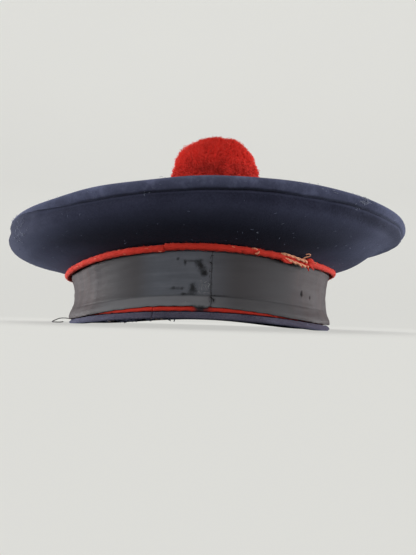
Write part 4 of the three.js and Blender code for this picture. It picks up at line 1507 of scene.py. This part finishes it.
class CAP_OT_cords(bpy.types.Operator):
    """Make the two red cords, with the torn stretch of the upper one"""

    bl_idname = "sailor_cap.cords"
    bl_label = "Cords"

    def execute(self, context):
        colours = context.scene.sailor_cap.colours
        detail = context.scene.sailor_cap.detail
        reds = (colours.cord_red_deep, colours.cord_red, 1500.0, 0.5, 0.2, colours.wool_red_sheen)
        cover = woolly("cord_cover", *reds)
        pale, tint = colours.pale_thread, colours.cord_core
        core = woolly("cord_core", pale, tint, 1800.0, 0.4, 0.2, tint)
        thread = woolly("pale_thread", colours.cord_red, pale, 2500.0, 0.2, 0.1, tint)
        settle(upper_cord(cover), "upper_cord")
        soil = Soil(SOILED_CENTRE, SOILED_HALF_SIZE, colours.soil)
        darkened = woolly("lower_cord_cover", *reds, soil)
        settle(lower_cord(darkened), "lower_cord")
        settle(cord_fuzz(detail.cord_fuzz_count, cover))
        settle(cord_stitches(thread))
        settle(torn_core(core))
        settle(torn_loop(core))
        settle(torn_flaps(cover))
        settle(torn_shreds(cover))
        return {"FINISHED"}


def on_pompom(way, share):
    """Places at a share of the way out from the pompom's middle, flat where it sits on the crown."""
    way = np.asarray(way)
    share = np.asarray(share)[..., None]
    axes = np.where(way[..., 2:] > 0.0, POMPOM_RISE, POMPOM_FALL)
    wide = np.full_like(axes, POMPOM_HALF_WIDTH)
    reach = np.concatenate([wide, wide, axes], axis=-1)
    points = POMPOM_CENTRE + way * reach * share
    points[..., 2] = np.maximum(points[..., 2], POMPOM_SEAT)
    return points


def unit(vectors):
    """Vectors of length 1."""
    return vectors / np.linalg.norm(vectors, axis=-1, keepdims=True)


def pompom_reach(way):
    """How far the pompom's surface reaches each way: in soft clumps, with a hollow low at the front."""
    x, y, z = np.moveaxis(way, -1, 0)
    broad = uneven(6.0 * x, 6.0 * y, 6.0 * z, seed=71, waves=16)
    small = uneven(15.0 * x, 15.0 * y, 15.0 * z, seed=72, waves=24)
    hollow = POMPOM_HOLLOW_DEPTH * np.exp(-(((x + 0.1) / 0.3) ** 2) - ((z - 0.05) / 0.13) ** 2) * (y < 0.0)
    lean = 0.04 * x * z - 0.045 * (1.0 - smooth_step(z, 0.1, 0.8)) - 0.055 * np.abs(z) ** 5
    shoulder = 0.04 * hump(z - 0.53, 0.22) * np.maximum(-x, 0.0)
    return 0.99 + lean + shoulder + 0.018 * np.tanh(broad) + 0.014 * np.tanh(small) - hollow


def pompom_strands(detail):
    """Paths of cut wool strands all over the pompom, leaning together in clumps."""
    chance = np.random.default_rng(74)
    strand = np.arange(detail.strand_count)
    rise = 1.0 - 1.9 * (strand + 0.5) / detail.strand_count
    turn = strand * np.pi * (3.0 - math.sqrt(5.0))
    spread = np.sqrt(1.0 - rise**2)
    way = np.stack([spread * np.sin(turn), -spread * np.cos(turn), rise], axis=-1)
    way = unit(way + chance.normal(0.0, 0.012, way.shape))
    lean = np.stack([uneven(*(8.0 * way.T), seed=75 + axis, waves=16) for axis in range(3)], axis=-1)
    tip_way = unit(way + 0.045 * lean + chance.normal(0.0, 0.05, way.shape))
    reach = pompom_reach(tip_way) + chance.normal(0.0, 0.017, detail.strand_count)
    root = on_pompom(way, reach - POMPOM_STRAND_DEPTH)
    return np.stack([root, on_pompom(tip_way, reach)], axis=1)


def pompom_heart():
    """Points and faces of the shaggy mass that the strands stand on."""
    rings, columns = 60, 120
    rise = np.cos(np.linspace(0.04, np.pi - 0.04, rings))[:, None]
    turn = np.linspace(0.0, 2.0 * np.pi, columns, endpoint=False)[None, :]
    flat = np.sqrt(1.0 - rise**2)
    way = np.stack(np.broadcast_arrays(flat * np.sin(turn), -flat * np.cos(turn), rise), axis=-1)
    points = on_pompom(way, pompom_reach(way) - POMPOM_HEART_DEPTH).reshape(-1, 3)
    caps = np.stack([np.arange(columns)[::-1], (rings - 1) * columns + np.arange(columns)])
    return points, [grid_faces(rings, columns, False, True), caps]


def pompom(detail, material):
    """The pompom: strands all over a shaggy heart."""
    paths = pompom_strands(detail)
    radii = np.broadcast_to(detail.strand_radius * np.array([1.0, 0.6]), paths.shape[:2])
    strands = strand_points(paths, radii, 3).reshape(-1, 3)
    heart, heart_faces = pompom_heart()
    heart_faces = [group + len(strands) for group in outward(heart, heart_faces)]
    faces = outward(strands, strand_faces(*paths.shape[:2], 3))
    return mesh_piece("pompom", np.concatenate([strands, heart]), faces + heart_faces, material)


class CAP_OT_pompom(bpy.types.Operator):
    """Make the red wool pompom"""

    bl_idname = "sailor_cap.pompom"
    bl_label = "Pompom"

    def execute(self, context):
        settings = context.scene.sailor_cap
        settle(pompom(settings.detail, pompom_wool(settings.colours)), "pompom")
        return {"FINISHED"}


def on_profile(profile, share, bearing, lift=0.0):
    """Places at a share of the way along a profile, lifted square to it."""
    count = np.linspace(0.0, 1.0, len(profile))
    out = square_to(profile)
    radius = np.interp(share, count, profile[:, 0]) + lift * np.interp(share, count, out[:, 0])
    height = np.interp(share, count, profile[:, 1]) + lift * np.interp(share, count, out[:, 1])
    return radius, bearing, height


LINT_RADIUS = 0.00007
FLUFF_RADIUS = 0.00009
LINT_TAPER = np.array([0.6, 0.9, 1.0, 1.0, 0.9, 0.6])
Fluff = namedtuple("Fluff", "bearing share spread depth count length")
SIDE_FLUFF = [
    Fluff(bearing=-49.3, share=0.56, spread=0.3, depth=0.004, count=4, length=0.4),
    Fluff(bearing=14.4, share=0.41, spread=0.6, depth=0.01, count=2, length=0.9),
    Fluff(bearing=34.6, share=0.93, spread=0.4, depth=0.02, count=3, length=1.2),
    Fluff(bearing=-12.6, share=0.96, spread=1.2, depth=0.01, count=3, length=1.2),
    Fluff(bearing=-53.0, share=0.86, spread=7.0, depth=0.05, count=20, length=1.6),
]
TOP_FLUFF = [
    Fluff(bearing=36.3, share=0.74, spread=2.0, depth=0.06, count=40, length=1.6),
    Fluff(bearing=24, share=0.70, spread=8.0, depth=0.06, count=10, length=1.0),
    Fluff(bearing=-60, share=0.72, spread=6.0, depth=0.06, count=10, length=1.4),
]


def lint_paths(profile, sign, bearing, share, length, chance):
    """Curled stray fibres lying on a face of the crown."""
    steps = np.linspace(0.0, 1.0, 6)
    count = len(bearing)
    heading = chance.uniform(0.0, 2.0 * np.pi, (count, 1)) + chance.normal(0.0, 1.4, (count, 1)) * steps
    run = length[:, None] * np.cumsum(np.cos(heading), axis=1) / 6.0
    rise = length[:, None] * np.cumsum(np.sin(heading), axis=1) / 6.0
    lift = sign * (0.00025 + 0.0004 * chance.random((count, 1)) * np.sin(np.pi * steps))
    place = np.clip(share[:, None] + 0.035 * rise, 0.0, 0.99)
    spots = on_profile(profile, place, bearing[:, None] + run, lift)
    return worn(*(twisted(*spots) if sign > 0.0 else spots))


def crown_faces():
    """The profiles of the crown's side and top, with the way in which lint lies clear of each."""
    return (side_profile(), 1.0), (np.hstack(top_rows([0.0]))[TOP_ROWS // 2:], -1.0)


def crown_lint(count, material):
    """Stray fibres all over the crown."""
    chance = np.random.default_rng(83)
    paths = []
    for profile, sign in crown_faces():
        bearing = chance.uniform(-180.0, 180.0, count // 2)
        share = chance.uniform(0.1, 0.93, count // 2)
        length = chance.uniform(0.3, 1.2, count // 2)
        paths.append(lint_paths(profile, sign, bearing, share, length, chance))
    return strands_piece("crown_lint", np.concatenate(paths), LINT_RADIUS * LINT_TAPER, material)


def crown_fluff(material):
    """The few places where paler fluff has caught on the crown."""
    chance = np.random.default_rng(89)
    paths = []
    for (profile, sign), fluffs in zip(crown_faces(), (SIDE_FLUFF, TOP_FLUFF)):
        for fluff in fluffs:
            bearing = fluff.bearing + chance.normal(0.0, fluff.spread / 2.0, fluff.count)
            share = fluff.share + chance.normal(0.0, fluff.depth, fluff.count)
            length = fluff.length * chance.uniform(0.5, 1.2, fluff.count)
            paths.append(lint_paths(profile, sign, bearing, share, length, chance))
    return strands_piece("crown_fluff", np.concatenate(paths), FLUFF_RADIUS * LINT_TAPER, material)


def rim_point(bearing, radius_stand, height):
    """Places by the rim, by how far they stand out from the band wall and their height on the round cap."""
    return worn(WALL_RADIUS + np.asarray(radius_stand), bearing, height)


def hem_bits(name, bearings, chance, length, radius, material):
    """Frayed bits that hang under the front of the rim."""
    share = np.linspace(0.0, 1.0, 5)
    count = len(bearings)
    bearing = bearings[:, None] + chance.normal(0.0, 0.9, (count, 1)) * share
    stand = chance.uniform(0.0, 0.0034, (count, 1)) + chance.normal(0.0, 0.0006, (count, 1)) * share
    drop = length * chance.uniform(0.4, 1.0, (count, 1)) * np.sin(0.5 * np.pi * share)
    paths = rim_point(bearing, stand, 0.0003 - drop)
    paths[..., 2] = np.maximum(paths[..., 2], 0.0003)
    radii = radius * chance.uniform(0.6, 1.0, (count, 1)) * (1.0 - 0.5 * share)
    return strands_piece(name, paths, radii, material, sides=4)


LOOSE_THREAD = [
    (-0.0905, -0.0120, 0.0018), (-0.0945, -0.0150, 0.0030), (-0.0985, -0.0190, 0.0030),
    (-0.1015, -0.0225, 0.0014), (-0.1018, -0.0255, 0.0005), (-0.0995, -0.0268, 0.0004),
    (-0.0968, -0.0252, 0.0004), (-0.0955, -0.0225, 0.0007),
]


class CAP_OT_loose_fibres(bpy.types.Operator):
    """Make the lint on the crown, the frayed bits of the hem and the loose thread"""

    bl_idname = "sailor_cap.loose_fibres"
    bl_label = "Loose fibres"

    def execute(self, context):
        settings = context.scene.sailor_cap
        colours = settings.colours
        chance = np.random.default_rng(97)
        lint = woolly("lint", colours.navy_worn_and_lit, colours.lint, 900.0, 0.1, 0.3, colours.lint)
        settle(crown_lint(settings.detail.lint_count, lint))
        fluff = woolly("fluff", colours.lint, colours.fluff, 900.0, 0.1, 0.3, colours.fluff)
        settle(crown_fluff(fluff))
        dark = woolly("hem_dark", colours.stain_and_shade, colours.navy, 1500.0, 0.3, 0.2, colours.navy_sheen)
        dark_places = np.concatenate([chance.normal(-24.0, 1.6, 16), chance.uniform(-36.0, -7.0, 22)])
        settle(hem_bits("hem_dark_bits", dark_places, chance, 0.0020, 0.00042, dark))
        pale = woolly("hem_pale", colours.hem, colours.hem, 1500.0, 0.3, 0.1, colours.hem)
        pale_places = np.concatenate([chance.normal(-12.5, 1.8, 12), chance.normal(-33.0, 1.2, 4)])
        settle(hem_bits("hem_pale_bits", pale_places, chance, 0.0012, 0.00034, pale))
        thread = woolly("loose_thread", colours.stain_and_shade, colours.loose_thread, 1800.0, 0.2, 0.2, colours.lint)
        path = curve_path(LOOSE_THREAD, 48)[None]
        settle(strands_piece("rim_loose_thread", path, 0.00032, thread, sides=6))
        return {"FINISHED"}


FLOOR_RADIUS = 0.9
COVE_RADIUS = 0.45
WALL_HEIGHT = 1.7
STAGE_COLUMNS = 96


def paper_sweep(material):
    """A seamless floor that curves up into a wall all round."""
    angles = np.linspace(0.0, np.pi / 2.0, 14)
    out = np.sin(angles) * COVE_RADIUS + FLOOR_RADIUS
    cove = np.stack([out, COVE_RADIUS * (1.0 - np.cos(angles))], axis=-1)
    profile = np.vstack([[(0.0005, 0.0), (0.3, 0.0)], cove, [(FLOOR_RADIUS + COVE_RADIUS, WALL_HEIGHT)]])
    bearings = np.linspace(0.0, 2.0 * np.pi, STAGE_COLUMNS, endpoint=False)[None, :]
    radius, height = profile[:, 0, None], profile[:, 1, None]
    across, deep = radius * np.sin(bearings), -radius * np.cos(bearings)
    points = np.stack(np.broadcast_arrays(across, deep, height), axis=-1)
    faces = [grid_faces(len(profile), STAGE_COLUMNS, False, True), np.arange(STAGE_COLUMNS)[None, ::-1]]
    return mesh_piece("paper_sweep", points, faces, material)


def keep_light_off(light, piece):
    """Keeps a light off one piece, so that no bright pool of it shows there."""
    spared = bpy.data.collections.new(f"{light.name}_spares")
    spared.objects.link(piece)
    spared.collection_objects[0].light_linking.link_state = "EXCLUDE"
    light.light_linking.receiver_collection = spared


def area_light(name, place, target, width, length, power, colour):
    """A soft light that looks at a target and isn't seen itself."""
    data = bpy.data.lights.new(name, "AREA")
    data.shape = "RECTANGLE"
    data.size, data.size_y = width, length
    data.energy = power
    data.color = colour
    light = bpy.data.objects.new(name, data)
    light.location = place
    direction = Vector(target) - Vector(place)
    light.rotation_euler = direction.to_track_quat("-Z", "Y").to_euler()
    light.visible_camera = False
    bpy.context.scene.collection.objects.link(light)
    return light


class CAP_OT_stage(bpy.types.Operator):
    """Set the floor, the lights and the camera"""

    bl_idname = "sailor_cap.stage"
    bl_label = "Stage"

    def execute(self, context):
        settings = context.scene.sailor_cap
        stage = settings.stage
        paper = paper_sweep(studio_paper(settings.colours))
        middle = (0.0, 0.0, 0.06)
        warm = (1.0, 0.99, 0.97)
        cool = (0.95, 0.98, 1.0)
        area_light("overhead", (0.0, 0.1, 1.3), middle, 1.3, 1.1, stage.overhead, warm)
        left = area_light("left_side", (-0.31, -0.03, 0.024), middle, 0.32, 0.046, stage.left, cool)
        right = area_light("right_side", (0.31, -0.03, 0.024), middle, 0.32, 0.046, stage.right, cool)
        front = area_light("front", (0.0, -1.1, 0.12), middle, 1.1, 0.32, stage.front, warm)
        for light in (left, right, front):
            keep_light_off(light, paper)
        world = bpy.data.worlds.new("studio")
        world.use_nodes = True
        background = next(n for n in world.node_tree.nodes if n.type == "BACKGROUND")
        background.inputs["Color"].default_value = (1.0, 1.0, 0.98, 1.0)
        background.inputs["Strength"].default_value = stage.sky
        context.scene.world = world
        context.scene.view_settings.view_transform = "Standard"

        data = bpy.data.cameras.new("camera")
        data.lens = stage.lens
        data.sensor_width = 36.0
        data.clip_start = 0.001
        camera = bpy.data.objects.new("camera", data)
        look = Matrix.Rotation(math.pi / 2.0 + stage.pitch, 4, "X") @ Matrix.Rotation(stage.roll, 4, "Z")
        place = Matrix.Translation((stage.camera_side, -stage.camera_distance, stage.camera_height))
        camera.matrix_world = place @ look
        context.scene.collection.objects.link(camera)
        context.scene.camera = camera
        return {"FINISHED"}


OPERATORS = (
    CAP_OT_stage, CAP_OT_crown, CAP_OT_band, CAP_OT_ribbon, CAP_OT_cords, CAP_OT_pompom, CAP_OT_loose_fibres,
)


class CAP_PT_panel(bpy.types.Panel):
    """The cap's pieces and settings"""

    bl_idname = "CAP_PT_panel"
    bl_label = "Sailor Cap"
    bl_space_type = "VIEW_3D"
    bl_region_type = "UI"
    bl_category = "Sailor Cap"

    def draw(self, context):
        settings = context.scene.sailor_cap
        for operator in OPERATORS:
            self.layout.operator(operator.bl_idname)
        for group in (settings.detail, settings.stage, settings.colours):
            box = self.layout.box()
            for name in group.__annotations__:
                box.prop(group, name)


CLASSES = (CapColours, CapDetail, CapStage, CapSettings, *OPERATORS, CAP_PT_panel)


def register():
    """Registers the classes and the scene's settings."""
    for made in CLASSES:
        bpy.utils.register_class(made)
    bpy.types.Scene.sailor_cap = bpy.props.PointerProperty(type=CapSettings)


def unregister():
    """Takes the settings and the classes away again."""
    del bpy.types.Scene.sailor_cap
    for made in reversed(CLASSES):
        bpy.utils.unregister_class(made)


def main():
    """Builds the cap and its stage."""
    register()
    for make_group in (make_wool_nap, make_lint_specks, make_cloth_spot, make_fine_weave):
        make_group()
    bpy.ops.sailor_cap.stage()
    bpy.ops.sailor_cap.crown()
    bpy.ops.sailor_cap.band()
    bpy.ops.sailor_cap.ribbon()
    bpy.ops.sailor_cap.cords()
    bpy.ops.sailor_cap.pompom()
    bpy.ops.sailor_cap.loose_fibres()


if __name__ == "__main__":
    main()
